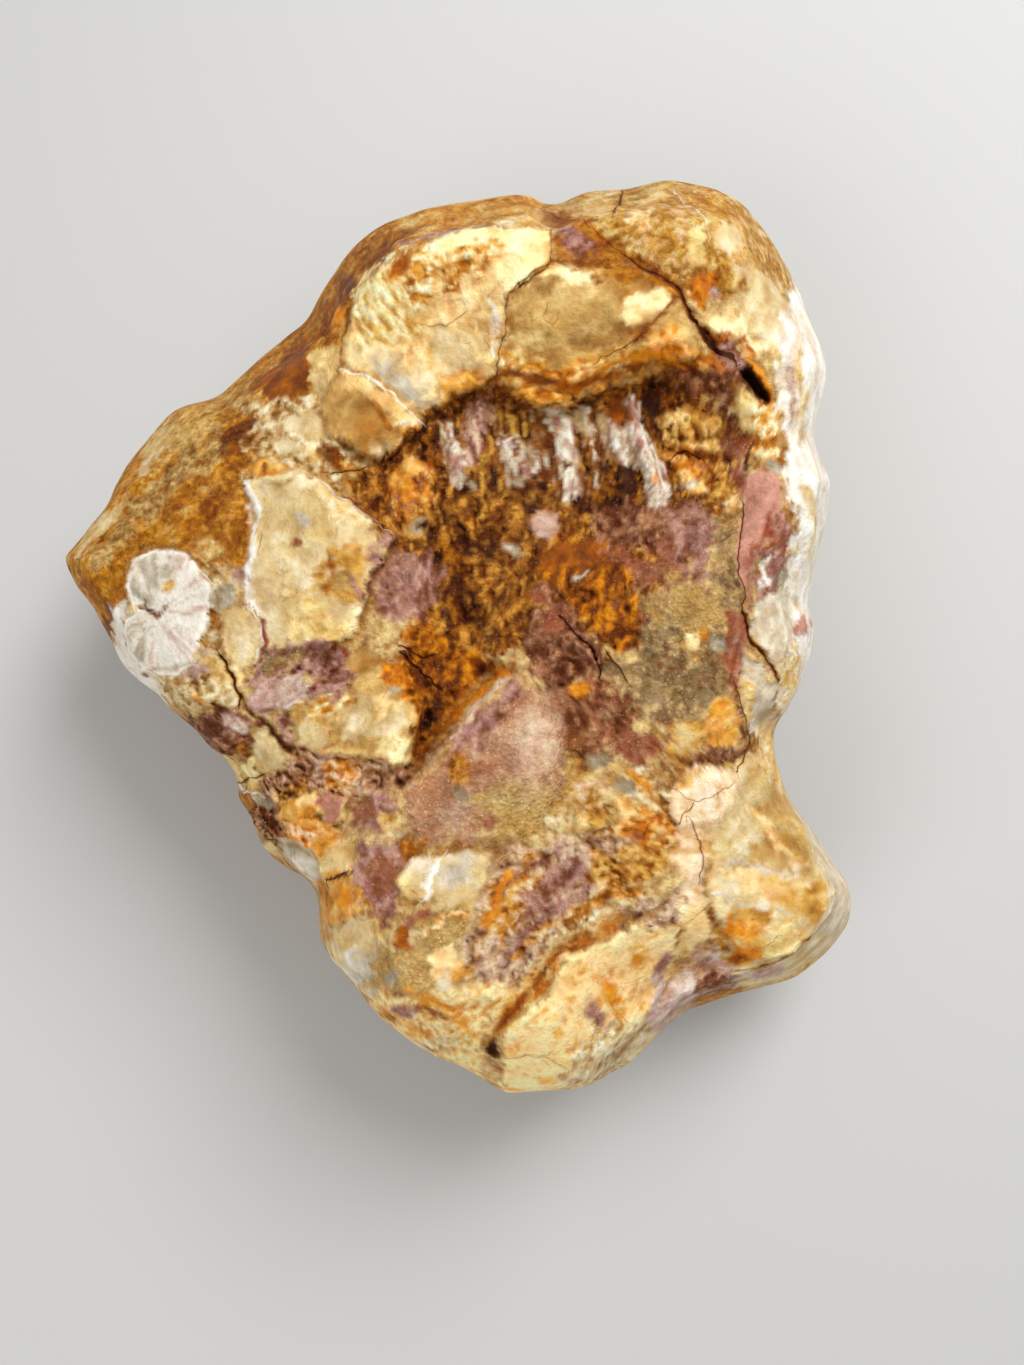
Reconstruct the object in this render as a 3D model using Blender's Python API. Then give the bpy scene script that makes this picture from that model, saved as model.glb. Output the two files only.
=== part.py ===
"""A rough, unpolished boulder piece of chalcedony: one solid stone.

Lengths are metres and +Z is up. The stone rests on a small flat spot at z = 0, and the origin is
under the middle of its width and length.

The upper face is laid out in picture points, (right, down), as an eye above the stone sees it.
Heights and depths on that face are millimetres. A point's place follows from the line of sight
through it and from its height, so the face keeps its layout whatever its relief is.
"""

from math import cos, pi, radians, sin

import bmesh
import bpy
import numpy as np

# Driving dimensions, in metres
WIDTH = 0.162
LENGTH = 0.191
HEIGHT = 0.066

# The eye that the upper face is laid out from
EYE_HEIGHT = 0.234
EYE_TILT = radians(9.4)
EYE_FOCUS = 1025.0
EYE_MIDDLE = (512.0, 682.5)

MM = 0.001
NAME = "stone"

# Fineness of the form before it is thinned, and the share of it that is kept
GRID = 84
KEPT_SHARE = 0.093

# General form, in picture points across and millimetres up
HEART = (460.0, 640.0)
CROWN_HEIGHT = 57.0
SHOULDER_ROUNDNESS = 2.4
SIDE_STEEPNESS = 4.2
BELLY_ROUNDNESS = 1.85
FLAT_SPOT_CUT = 0.8

OUTLINE = [
    (58, 550), (77, 522), (100, 497), (120, 461), (140, 440), (185, 397), (215, 385), (241, 362),
    (275, 334), (303, 308), (310, 291), (350, 242), (384, 212), (422, 197), (453, 193), (497, 187),
    (532, 184), (551, 195), (575, 183), (615, 177), (661, 172), (716, 177), (744, 190), (761, 210),
    (782, 239), (805, 285), (816, 316), (825, 357), (819, 403), (815, 428), (825, 451), (836, 474),
    (833, 494), (825, 535), (813, 565), (809, 597), (817, 621), (817, 653), (806, 688), (793, 712),
    (780, 727), (784, 750), (797, 789), (817, 815), (839, 854), (857, 889), (852, 920), (831, 957),
    (801, 981), (753, 995), (737, 996), (689, 1008), (667, 1027), (622, 1064), (592, 1086),
    (568, 1094), (537, 1095), (503, 1091), (461, 1072), (433, 1063), (396, 1043), (374, 1026),
    (340, 987), (323, 967), (312, 942), (308, 895), (284, 875), (252, 844), (242, 821), (229, 802),
    (221, 771), (200, 754), (183, 735), (160, 712), (155, 700), (129, 678), (109, 646), (86, 609),
    (69, 589),
]

# Height of the outline and width of the shoulder above it: (degrees round from the right, value)
OUTLINE_HEIGHTS = [
    (-180, 41), (-165, 36), (-150, 31), (-135, 27), (-120, 31), (-105, 26), (-90, 29), (-70, 24),
    (-50, 27), (-35, 22), (-18, 29), (-8, 36), (10, 31), (25, 37), (45, 35), (60, 41), (75, 36),
    (95, 40), (115, 35), (135, 30), (155, 33), (168, 38), (180, 41),
]
SHOULDER_WIDTHS = [
    (-180, 95), (-150, 60), (-120, 60), (-90, 90), (-60, 100), (-35, 90), (-10, 60),
    (20, 75), (45, 80), (75, 50), (110, 80), (135, 120), (160, 110), (180, 95),
]

# Broad swells and dips: (middle, radii, turn in degrees, height)
SWELLS = [
    ((700, 225), (80, 60), -25, 5.0),
    ((430, 240), (110, 50), 30, 4.0),
    ((600, 285), (110, 45), -12, 3.0),
    ((770, 480), (45, 110), 5, 1.0),
    ((670, 620), (80, 90), 0, 3.0),
    ((515, 740), (45, 90), -20, 3.5),
    ((320, 540), (80, 80), 0, 4.0),
    ((350, 720), (70, 45), 0, 3.0),
    ((160, 610), (60, 80), 0, -3.0),
    ((440, 925), (60, 90), 30, 2.0),
    ((590, 1010), (110, 70), -35, -3.0),
    ((790, 860), (80, 80), 0, -8.0),
    ((690, 975), (70, 40), 0, -8.0),
    ((250, 810), (60, 60), 0, -8.0),
    ((150, 480), (100, 50), 40, -3.0),
]

HOLLOW = [
    (352, 478), (385, 450), (420, 415), (468, 385), (560, 396), (640, 372), (690, 372), (735, 420),
    (742, 480), (700, 560), (620, 620), (540, 640), (455, 660), (410, 640), (395, 590), (385, 545),
]
PIT = [(396, 655), (430, 640), (478, 650), (492, 664), (455, 700), (430, 745), (412, 752), (408, 700)]
CREAM_PLATE = [
    (247, 463), (293, 469), (356, 494), (396, 535), (373, 566), (380, 640), (250, 655), (215, 600),
]
BRIGHT_PLATE = [
    (350, 300), (380, 235), (470, 215), (549, 222), (550, 262), (512, 285), (492, 374), (440, 400),
    (422, 418), (384, 380), (347, 362),
]
TAN_PLATE = [
    (512, 285), (560, 262), (640, 262), (690, 300), (700, 345), (650, 372), (560, 405), (500, 392),
    (494, 374),
]
THIN_FLAKE = [(347, 362), (384, 380), (422, 418), (402, 457), (333, 434), (300, 410)]
GLOSSY_LUMP = [(290, 690), (340, 668), (396, 652), (419, 690), (419, 738), (400, 767), (300, 762)]
LOWER_FLAKE = [
    (430, 850), (480, 852), (495, 865), (470, 900), (500, 930), (480, 985), (400, 992), (385, 930),
]
BOTTOM_LOBE = [
    (500, 1110), (505, 1030), (553, 968), (593, 940), (645, 922), (690, 900), (705, 940),
    (660, 1010), (600, 1110),
]
KNOB = [(667, 790), (690, 767), (725, 770), (731, 800), (715, 826), (675, 822)]
RIGHT_LOBE = [
    (735, 760), (785, 745), (830, 810), (870, 890), (850, 960), (745, 960), (710, 900), (712, 830),
]
SMOOTH_PLATE = [
    (425, 760), (505, 682), (550, 668), (572, 700), (575, 760), (560, 820), (470, 835), (400, 810),
    (395, 780),
]
BRICK_FACE = [(745, 466), (784, 470), (786, 530), (760, 560), (738, 590), (730, 520)]
RIGHT_BLOCK = [(737, 600), (781, 590), (785, 650), (765, 729), (745, 720), (741, 650)]
LEFT_STEPS = [
    [(215, 745), (262, 748), (262, 798), (232, 800)],
    [(280, 800), (345, 790), (350, 850), (300, 850)],
    [(262, 830), (318, 836), (322, 900), (290, 890)],
    [(300, 745), (395, 760), (385, 800), (330, 800)],
]

# Plates, ledges and hollows: (outline, height, rise per 100 points right, rise per 100 down, edge)
LEDGES = [
    (HOLLOW, -4.5, 0.5, 3.5, 26),
    (BRIGHT_PLATE, 1.5, 1.0, -1.0, 6),
    (TAN_PLATE, 1.2, -0.5, -1.0, 6),
    (THIN_FLAKE, 2.0, 1.5, 1.0, 5),
    (CREAM_PLATE, 1.8, 2.0, -1.5, 6),
    (GLOSSY_LUMP, 2.4, 2.0, 0.0, 7),
    (PIT, -8.0, 0.0, 0.0, 26),
    (SMOOTH_PLATE, 1.8, 0.0, 0.5, 22),
    (LOWER_FLAKE, 1.6, -0.5, -1.0, 8),
    (BOTTOM_LOBE, 2.2, -0.5, -0.8, 8),
    (KNOB, 2.2, 0.0, 0.0, 12),
    (RIGHT_LOBE, 1.5, 0.5, 0.5, 14),
    (BRICK_FACE, 1.0, 0.0, 0.0, 8),
    (RIGHT_BLOCK, 1.4, 0.0, 0.0, 7),
    (LEFT_STEPS[0], -2.0, 0.0, 0.0, 6),
    (LEFT_STEPS[1], 2.0, 2.0, -3.0, 6),
    (LEFT_STEPS[2], -1.5, 0.0, 3.0, 6),
    (LEFT_STEPS[3], 1.5, 1.0, 0.0, 6),
]

# Cracks and grooves: (line, half width at its start, half width at its end, depth)
GROOVES = [
    ([(549, 199), (583, 219), (624, 250), (652, 268), (675, 282), (693, 308)], 5, 8, 2.5),
    ([(693, 308), (710, 334), (727, 351), (745, 372), (764, 392)], 8, 17, 8.0),
    ([(615, 182), (614, 205), (611, 224)], 3, 2, 1.2),
    ([(550, 222), (550, 265), (512, 285), (502, 322), (492, 374)], 3, 4, 1.2),
    ([(741, 539), (743, 621), (758, 650), (778, 679)], 4, 5, 2.4),
    ([(563, 612), (591, 650), (599, 674)], 4, 4, 1.8),
    ([(605, 653), (620, 676)], 3, 2, 1.0),
    ([(224, 652), (244, 695), (282, 722), (298, 753)], 4, 6, 2.0),
    ([(358, 265), (348, 300), (346, 357)], 6, 6, 1.8),
    ([(694, 820), (698, 874)], 3, 3, 1.2),
    ([(488, 1050), (523, 1009), (553, 962), (593, 934), (638, 917), (700, 880)], 16, 8, 4.0),
    ([(564, 668), (566, 710), (570, 753)], 20, 16, 2.5),
    ([(400, 650), (415, 700), (420, 740)], 7, 8, 2.5),
    ([(313, 942), (322, 905), (345, 880)], 6, 5, 1.5),
    ([(780, 727), (760, 745), (735, 752), (712, 765)], 14, 7, 3.0),
]

# White ribs that stand in the hollow: (line, half width, height)
RIBS = [
    ([(482, 400), (476, 425), (470, 455)], 9, 3.0),
    ([(449, 420), (458, 450), (466, 476)], 9, 3.0),
    ([(500, 420), (510, 470), (512, 500)], 7, 1.6),
    ([(555, 404), (562, 450), (574, 491)], 10, 2.6),
    ([(600, 405), (606, 440), (610, 470)], 9, 2.0),
    ([(630, 398), (640, 430), (650, 470), (657, 500)], 11, 4.5),
]

# Broken faces round the sides and belly: (degrees round from the right, degrees down, cut)
BREAKS = [
    (5, 42, 5.0), (48, 30, 2.5), (95, 46, 6.0), (138, 34, 3.0), (172, 44, 6.0), (212, 30, 2.5),
    (245, 50, 6.0), (288, 34, 3.0), (325, 50, 6.0), (30, 66, 5.0), (120, 68, 5.0), (200, 60, 6.0),
    (268, 70, 4.0), (345, 62, 5.0),
]

# Chips and waves all over: (kind, size of one, depth)
SKIN = [("scoops", 31.0, 5.0), ("scoops", 12.5, 1.7), ("ripples", 15.0, 0.9)]
BELLY_ROUGHNESS = 1.5


def clear_scene():
    for old in list(bpy.data.objects):
        bpy.data.objects.remove(old, do_unlink=True)


def collection(name):
    made = bpy.data.collections.new(name)
    bpy.context.scene.collection.children.link(made)
    return made


def stone_material():
    """Waxy cream and ochre chalcedony, taken as one average colour."""
    material = bpy.data.materials.new("chalcedony")
    material.use_nodes = True
    shader = material.node_tree.nodes["Principled BSDF"]
    shader.inputs["Base Color"].default_value = (0.40, 0.25, 0.12, 1.0)
    shader.inputs["Roughness"].default_value = 0.5
    shader.inputs["Metallic"].default_value = 0.0
    return material


# Helpers for the form

def smooth(x):
    x = np.clip(x, 0.0, 1.0)
    return x * x * (3.0 - 2.0 * x)


def inside(outline, u, v):
    """How far (u, v) is inside a closed outline; outside it is negative."""
    corners = np.array(outline, float)
    nearest = np.full(u.shape, 1e9)
    within = np.zeros(u.shape, bool)
    for (au, av), (bu, bv) in zip(corners, np.roll(corners, -1, axis=0)):
        du, dv = bu - au, bv - av
        share = np.clip(((u - au) * du + (v - av) * dv) / (du * du + dv * dv), 0.0, 1.0)
        nearest = np.minimum(nearest, np.hypot(u - au - share * du, v - av - share * dv))
        if dv != 0.0:
            within ^= ((av > v) != (bv > v)) & (u < au + (v - av) * du / dv)
    return np.where(within, nearest, -nearest)


def beside(line, u, v):
    """How far (u, v) is from an open line, and the share of the way along it."""
    corners = np.array(line, float)
    runs = len(corners) - 1
    nearest = np.full(u.shape, 1e9)
    way = np.zeros(u.shape)
    for run in range(runs):
        au, av = corners[run]
        du, dv = corners[run + 1] - corners[run]
        share = np.clip(((u - au) * du + (v - av) * dv) / (du * du + dv * dv), 0.0, 1.0)
        far = np.hypot(u - au - share * du, v - av - share * dv)
        way = np.where(far < nearest, (run + share) / runs, way)
        nearest = np.minimum(nearest, far)
    return nearest, way


def scatter(i, j, k, seed):
    """A fixed number from 0 to 1 for each cell of a grid."""
    mixed = i * 374761393 + j * 668265263 + k * 2147483647 + seed * 974634777
    mixed = mixed & 0xFFFFFFFF
    mixed = ((mixed ^ (mixed >> 13)) * 1274126177) & 0xFFFFFFFF
    return ((mixed ^ (mixed >> 16)) & 0xFFFFFF) / float(0xFFFFFF)


def cells(x, y, z):
    return [np.floor(part).astype(np.int64) for part in (x, y, z)]


def waves(x, y, z, seed):
    """Smooth uneven waves, from -1 to 1, about one to each unit."""
    i, j, k = cells(x, y, z)
    weights = []
    for part, cell in ((x, i), (y, j), (z, k)):
        share = part - cell
        weights.append(share * share * share * (share * (share * 6.0 - 15.0) + 10.0))
    total = 0.0
    for a in (0, 1):
        for b in (0, 1):
            for c in (0, 1):
                weight = 1.0
                for step, share in zip((a, b, c), weights):
                    weight = weight * (share if step else 1.0 - share)
                total = total + weight * scatter(i + a, j + b, k + c, seed)
    return 2.0 * total - 1.0


def ripples(x, y, z, seed, octaves=3):
    """Waves with finer waves on them."""
    total = 0.0
    for octave in range(octaves):
        fine = 2.0 ** octave
        turn = 0.6 + octave
        along = cos(turn) * x - sin(turn) * y
        across = sin(turn) * x + cos(turn) * y
        total = total + waves(along * fine, across * fine, z * fine, seed + octave) / fine
    return total


def scoops(x, y, z, seed):
    """Shallow shell-shaped chips that meet in sharp ridges, about one to each unit."""
    i, j, k = cells(x, y, z)
    lowest = np.full(x.shape, 1e9)
    for a in (-1, 0, 1):
        for b in (-1, 0, 1):
            for c in (-1, 0, 1):
                cell = (i + a, j + b, k + c)
                off = [
                    part - corner - scatter(*cell, seed + axis)
                    for axis, (part, corner) in enumerate(zip((x, y, z), cell))
                ]
                level = 0.55 * sum(part * part for part in off) - 0.5 * scatter(*cell, seed + 3)
                lean = (scatter(*cell, seed + 4) - 0.5) * off[0] + (scatter(*cell, seed + 5) - 0.5) * off[1]
                lowest = np.minimum(lowest, level + lean)
    return lowest


def round_value(table, angle):
    degrees, values = np.array(table, float).T
    return np.interp(np.degrees(angle), degrees, values)


def outline_radius(angle):
    corners = np.array(OUTLINE, float) - HEART
    angles = np.arctan2(-corners[:, 1], corners[:, 0])
    return np.interp(angle, angles, np.hypot(*corners.T), period=2.0 * pi)


# The upper face

def upper_height(u, v):
    """Height in millimetres of the upper face at the picture points (u, v)."""
    level = np.zeros(u.shape)
    angle = np.arctan2(HEART[1] - v, u - HEART[0])
    wander_u = u + 7.0 * ripples(u / 38.0, v / 38.0, level, 11)
    wander_v = v + 7.0 * ripples(u / 38.0, v / 38.0, level, 23)
    depth_in = inside(OUTLINE, u, v)

    low = round_value(OUTLINE_HEIGHTS, angle)
    rise = np.clip(depth_in / round_value(SHOULDER_WIDTHS, angle), 0.0, 1.0)
    shoulder = np.sqrt(np.clip(1.0 - (1.0 - rise) ** SHOULDER_ROUNDNESS, 0.0, 1.0))
    height = low + (CROWN_HEIGHT - low) * shoulder

    for (mid_u, mid_v), (radius_u, radius_v), turn, lift in SWELLS:
        c, s = cos(radians(turn)), sin(radians(turn))
        along = ((u - mid_u) * c - (v - mid_v) * s) / radius_u
        across = ((u - mid_u) * s + (v - mid_v) * c) / radius_v
        height += lift * np.exp(-0.7 * (along ** 2 + across ** 2)) * smooth(depth_in / 45.0)

    for outline, lift, right, down, edge in LEDGES:
        mid_u, mid_v = np.mean(np.array(outline, float), axis=0)
        mask = smooth(inside(outline, wander_u, wander_v) / edge + 0.5) * smooth(depth_in / 20.0)
        height += mask * (lift + right * (u - mid_u) / 100.0 + down * (v - mid_v) / 100.0)
    for line, start, end, depth in GROOVES:
        far, way = beside(line, wander_u, wander_v)
        half = start + (end - start) * way
        height -= depth * (1.0 - smooth(far / half)) * smooth(depth_in / 10.0 + 0.3)
    for line, half, lift in RIBS:
        far, way = beside(line, wander_u, wander_v)
        taper = np.sqrt(np.clip(4.0 * way * (1.0 - way), 0.0, 1.0) + 0.1)
        height += lift * (1.0 - smooth(far / half)) * taper
    return height


def sight(u, v, height):
    """Place in metres of the picture points (u, v) at a height in metres."""
    right = (u - EYE_MIDDLE[0]) / EYE_FOCUS
    up = (EYE_MIDDLE[1] - v) / EYE_FOCUS
    away = up * cos(EYE_TILT) + sin(EYE_TILT)
    down = cos(EYE_TILT) - up * sin(EYE_TILT)
    reach = (EYE_HEIGHT - height) / down
    return reach * right, reach * away


# The whole stone

def rim_points(angle):
    """The outline's picture points and their place, in metres."""
    u = HEART[0] + outline_radius(angle) * np.cos(angle)
    v = HEART[1] - outline_radius(angle) * np.sin(angle)
    height = upper_height(u, v) * MM
    return (u, v), np.array((*sight(u, v, height), height))


def stone_points(cube):
    """Moves the points of a cube's surface, -1 to 1, onto the stone."""
    x, y, z = cube.T
    disc_x = x * np.sqrt(1.0 - y * y / 2.0)
    disc_y = y * np.sqrt(1.0 - x * x / 2.0)
    angle = np.arctan2(disc_y, disc_x)
    out = np.clip(np.hypot(disc_x, disc_y), 0.0, 1.0)
    top = z > 1.0 - 1e-6

    u = HEART[0] + out * outline_radius(angle) * np.cos(angle)
    v = HEART[1] - out * outline_radius(angle) * np.sin(angle)
    height = upper_height(u, v) * MM
    upper = np.array((*sight(u, v, height), height))

    _, rim = rim_points(angle)
    under = np.where(top, 0.0, (1.0 - z) / 4.0 + (1.0 - out) / 2.0) * pi / 2.0
    spread = np.cos(under) ** (2.0 / SIDE_STEEPNESS)
    sunk = np.sin(under) ** (2.0 / BELLY_ROUNDNESS)
    middle = np.array(sight(np.float64(HEART[0]), np.float64(HEART[1]), 0.0))
    lower = np.array((
        middle[0] + spread * (rim[0] - middle[0]),
        middle[1] + spread * (rim[1] - middle[1]),
        rim[2] * (1.0 - sunk) - sunk * FLAT_SPOT_CUT * MM,
    ))
    return np.where(top, upper, lower).T, np.where(top, 0.0, under)


def break_sides(points, under):
    """Cuts the sides and the belly back to flat broken faces, and leaves the outline alone."""
    weight = smooth((under - 0.1) / 0.35)
    for turn, dip, cut in BREAKS:
        normal = np.array((
            cos(radians(turn)) * cos(radians(dip)),
            sin(radians(turn)) * cos(radians(dip)),
            -sin(radians(dip)),
        ))
        reach = points @ normal
        over = np.maximum(reach - (reach.max() - cut * MM), 0.0) * weight
        points = points - over[:, None] * normal
    return points


def roughen(points, normals, under):
    """Gives the whole stone its chips and waves, which fade out on the flat spot."""
    rough = np.zeros(len(points))
    for seed, (kind, size, depth) in enumerate(SKIN):
        shape = {"scoops": scoops, "ripples": ripples}[kind]
        rough += depth * shape(*(points.T / (size * MM)), 10 * seed + 21)
    belly = 1.0 + (BELLY_ROUGHNESS - 1.0) * smooth(under / 0.3)
    amount = rough * MM * belly * smooth((1.56 - under) / 0.12)
    return points + amount[:, None] * normals


def fit(points):
    """Sets the driving dimensions, with the origin under the middle and the flat spot at z = 0."""
    low, high = points.min(axis=0), points.max(axis=0)
    points = points - ((low[0] + high[0]) / 2.0, (low[1] + high[1]) / 2.0, 0.0)
    return points * (WIDTH / (high[0] - low[0]), LENGTH / (high[1] - low[1]), HEIGHT / high[2])


def read_points(source, key):
    values = np.empty(len(source) * 3)
    source.foreach_get(key, values)
    return values.reshape(-1, 3)


def write_points(mesh, points):
    mesh.vertices.foreach_set("co", points.astype(np.float32).ravel())
    mesh.update()


def stone_mesh():
    form = bmesh.new()
    bmesh.ops.create_cube(form, size=2.0)
    bmesh.ops.subdivide_edges(form, edges=form.edges[:], cuts=GRID - 1, use_grid_fill=True)
    mesh = bpy.data.meshes.new(NAME)
    form.to_mesh(mesh)
    form.free()

    points, under = stone_points(read_points(mesh.vertices, "co"))
    points = break_sides(points, under)
    write_points(mesh, points)
    normals = read_points(mesh.vertices, "normal")
    points = fit(roughen(points, normals, under))
    write_points(mesh, points)
    mesh.shade_smooth()
    mesh.set_sharp_from_angle(angle=radians(40.0))
    return mesh


def flat_spot_cutter(cutters):
    """A block under the stone, which cuts the belly flat at z = 0."""
    depth = 0.02
    bpy.ops.mesh.primitive_cube_add(size=1.0, location=(0.0, 0.0, -depth / 2.0))
    block = bpy.context.object
    block.name = "flat_spot_cutter"
    block.scale = (2.0 * WIDTH, 2.0 * LENGTH, depth)
    for home in list(block.users_collection):
        home.objects.unlink(block)
    cutters.objects.link(block)
    block.hide_render = True
    block.display_type = "WIRE"
    return block


def make_stone(parts, cutters):
    stone = bpy.data.objects.new(NAME, stone_mesh())
    parts.objects.link(stone)
    stone.data.materials.append(stone_material())

    thin = stone.modifiers.new("thin", "DECIMATE")
    thin.decimate_type = "COLLAPSE"
    thin.ratio = KEPT_SHARE
    cut = stone.modifiers.new("flat_spot", "BOOLEAN")
    cut.operation = "DIFFERENCE"
    cut.object = flat_spot_cutter(cutters)
    return stone


clear_scene()
make_stone(collection("chalcedony_stone"), collection("cutters"))
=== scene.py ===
"""The looks of a rough chalcedony boulder piece, laid out as a Blender add-on and run as a script.

The stone is one mesh that stands for the solid. Its upper face is laid out in picture points,
(right, down), as an eye above the stone sees it, and everything on that face, relief and colour
alike, is placed by those points. Heights and depths on the face are millimetres.
"""

from math import atan, cos, pi, radians, sin

import bpy
import numpy as np
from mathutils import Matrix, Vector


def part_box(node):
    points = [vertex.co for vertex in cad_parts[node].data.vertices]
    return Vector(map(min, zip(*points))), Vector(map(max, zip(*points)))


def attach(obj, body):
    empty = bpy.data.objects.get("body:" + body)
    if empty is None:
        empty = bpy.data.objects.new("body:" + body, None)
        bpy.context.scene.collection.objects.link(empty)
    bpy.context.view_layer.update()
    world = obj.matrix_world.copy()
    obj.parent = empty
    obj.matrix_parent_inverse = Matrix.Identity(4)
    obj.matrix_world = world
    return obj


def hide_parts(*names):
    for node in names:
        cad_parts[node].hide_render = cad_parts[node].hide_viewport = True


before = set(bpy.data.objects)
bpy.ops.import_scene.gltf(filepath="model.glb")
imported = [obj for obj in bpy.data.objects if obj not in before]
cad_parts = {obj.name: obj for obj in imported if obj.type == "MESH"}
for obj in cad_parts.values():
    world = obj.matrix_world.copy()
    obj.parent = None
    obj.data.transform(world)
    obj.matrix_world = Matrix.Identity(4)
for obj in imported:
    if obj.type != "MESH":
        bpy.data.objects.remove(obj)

bl_info = {
    "name": "Chalcedony Stone",
    "version": (1, 0, 0),
    "blender": (4, 5, 0),
    "location": "View3D > Sidebar > Chalcedony",
    "description": "Models a rough chalcedony boulder piece and sets it on a pale floor",
    "category": "Add Mesh",
}

NODE = "stone"
LOW_CORNER, HIGH_CORNER = (np.array(corner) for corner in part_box(NODE))
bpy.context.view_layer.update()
MM = 0.001

# The eye that the upper face is laid out from, which is also the camera
EYE_HEIGHT = 0.234
EYE_TILT = radians(9.4)
EYE_FOCUS = 1025.0
EYE_MIDDLE = (512.0, 682.5)
PICTURE_HEIGHT = 1365.0
POINTS_PER_MM = 4.6

# General form, in picture points across and millimetres up
HEART = (460.0, 640.0)
CROWN_HEIGHT = 57.0
SHOULDER_ROUNDNESS = 2.4
SIDE_STEEPNESS = 4.2
BELLY_ROUNDNESS = 1.85
FLAT_SPOT_CUT = 0.8

OUTLINE = [
    (58, 550), (77, 522), (100, 497), (120, 461), (140, 440), (185, 397), (215, 385), (241, 362),
    (275, 334), (303, 308), (310, 291), (350, 242), (384, 212), (422, 197), (453, 193), (497, 187),
    (532, 184), (551, 195), (575, 183), (615, 177), (661, 172), (716, 177), (744, 190), (761, 210),
    (782, 239), (805, 285), (816, 316), (825, 357), (819, 403), (815, 428), (825, 451), (836, 474),
    (833, 494), (825, 535), (813, 565), (809, 597), (817, 621), (817, 653), (806, 688), (793, 712),
    (780, 727), (784, 750), (797, 789), (817, 815), (839, 854), (857, 889), (852, 920), (831, 957),
    (801, 981), (753, 995), (737, 996), (689, 1008), (667, 1027), (622, 1064), (592, 1086),
    (568, 1094), (537, 1095), (503, 1091), (461, 1072), (433, 1063), (396, 1043), (374, 1026),
    (340, 987), (323, 967), (312, 942), (308, 895), (284, 875), (252, 844), (242, 821), (229, 802),
    (221, 771), (200, 754), (183, 735), (160, 712), (155, 700), (129, 678), (109, 646), (86, 609),
    (69, 589),
]

# Height of the outline and width of the shoulder above it: (degrees round from the right, value)
OUTLINE_HEIGHTS = [
    (-180, 41), (-165, 36), (-150, 31), (-135, 27), (-120, 31), (-105, 26), (-90, 29), (-70, 24),
    (-50, 27), (-35, 22), (-18, 29), (-8, 36), (10, 31), (25, 37), (45, 35), (60, 41), (75, 36),
    (95, 40), (115, 35), (135, 30), (155, 33), (168, 38), (180, 41),
]
SHOULDER_WIDTHS = [
    (-180, 95), (-150, 60), (-120, 60), (-90, 90), (-60, 100), (-35, 90), (-10, 60),
    (20, 75), (45, 80), (75, 50), (110, 80), (135, 120), (160, 110), (180, 95),
]

# Broad swells and dips: (middle, radii, turn in degrees, height)
SWELLS = [
    ((700, 225), (80, 60), -25, 5.0),
    ((430, 240), (110, 50), 30, 4.0),
    ((600, 285), (110, 45), -12, 3.0),
    ((770, 480), (45, 110), 5, 1.0),
    ((670, 620), (80, 90), 0, 3.0),
    ((515, 740), (45, 90), -20, 3.5),
    ((320, 540), (80, 80), 0, 4.0),
    ((350, 720), (70, 45), 0, 3.0),
    ((160, 610), (60, 80), 0, -3.0),
    ((440, 925), (60, 90), 30, 2.0),
    ((590, 1010), (110, 70), -35, -3.0),
    ((790, 860), (80, 80), 0, -8.0),
    ((690, 975), (70, 40), 0, -8.0),
    ((250, 810), (60, 60), 0, -8.0),
    ((150, 480), (100, 50), 40, -3.0),
]

HOLLOW = [
    (352, 478), (385, 450), (420, 415), (468, 385), (560, 396), (640, 372), (690, 372), (735, 420),
    (742, 480), (700, 560), (620, 620), (540, 640), (455, 660), (410, 640), (395, 590), (385, 545),
]
PIT = [(396, 655), (430, 640), (478, 650), (492, 664), (455, 700), (430, 745), (412, 752), (408, 700)]
CREAM_PLATE = [
    (245, 483), (262, 472), (295, 464), (323, 481), (356, 500), (396, 533), (373, 566), (368, 601),
    (354, 632), (323, 646), (266, 648), (252, 632), (258, 608), (245, 596), (240, 566), (252, 542),
    (259, 523), (255, 500),
]
BRIGHT_PLATE = [
    (350, 300), (380, 262), (420, 240), (470, 222), (549, 222), (550, 262), (512, 285), (494, 374),
    (442, 398), (422, 418), (384, 385), (362, 366), (345, 357),
]
TAN_PLATE = [
    (512, 285), (560, 262), (640, 262), (690, 300), (700, 345), (650, 372), (560, 405), (500, 392),
    (494, 374),
]
THIN_FLAKE = [
    (344, 363), (362, 368), (392, 390), (421, 418), (404, 438), (388, 456), (370, 452), (345, 437),
    (328, 425), (322, 405), (330, 380),
]
GLOSSY_LUMP = [
    (291, 700), (318, 688), (345, 680), (382, 662), (407, 655), (421, 698), (418, 735), (413, 758),
    (396, 767), (360, 752), (330, 752), (300, 745),
]
LOWER_FLAKE = [
    (422, 897), (400, 892), (398, 872), (412, 856), (432, 848), (470, 850), (497, 853), (494, 872),
    (478, 890), (474, 940), (450, 990), (400, 992), (385, 930),
]
BOTTOM_LOBE = [
    (500, 1110), (500, 1036), (545, 985), (566, 957), (593, 940), (645, 922), (680, 925), (672, 960),
    (650, 1010), (600, 1110),
]
KNOB = [(667, 800), (672, 782), (690, 767), (712, 765), (728, 775), (731, 800), (715, 824), (678, 826)]
RIGHT_LOBE = [
    (735, 760), (785, 745), (830, 810), (870, 890), (850, 960), (745, 960), (710, 900), (706, 830),
]
SMOOTH_PLATE = [
    (413, 773), (445, 735), (508, 672), (540, 680), (567, 735), (562, 781), (521, 838), (471, 845),
    (420, 835), (385, 800),
]
BRICK_FACE = [(745, 466), (784, 470), (786, 530), (760, 560), (738, 590), (730, 520)]
RIGHT_BLOCK = [(742, 640), (760, 655), (779, 684), (780, 725), (765, 740), (748, 730), (738, 690)]
GOLD_CHIP = [(280, 815), (290, 800), (319, 793), (321, 812), (300, 822)]
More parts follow.
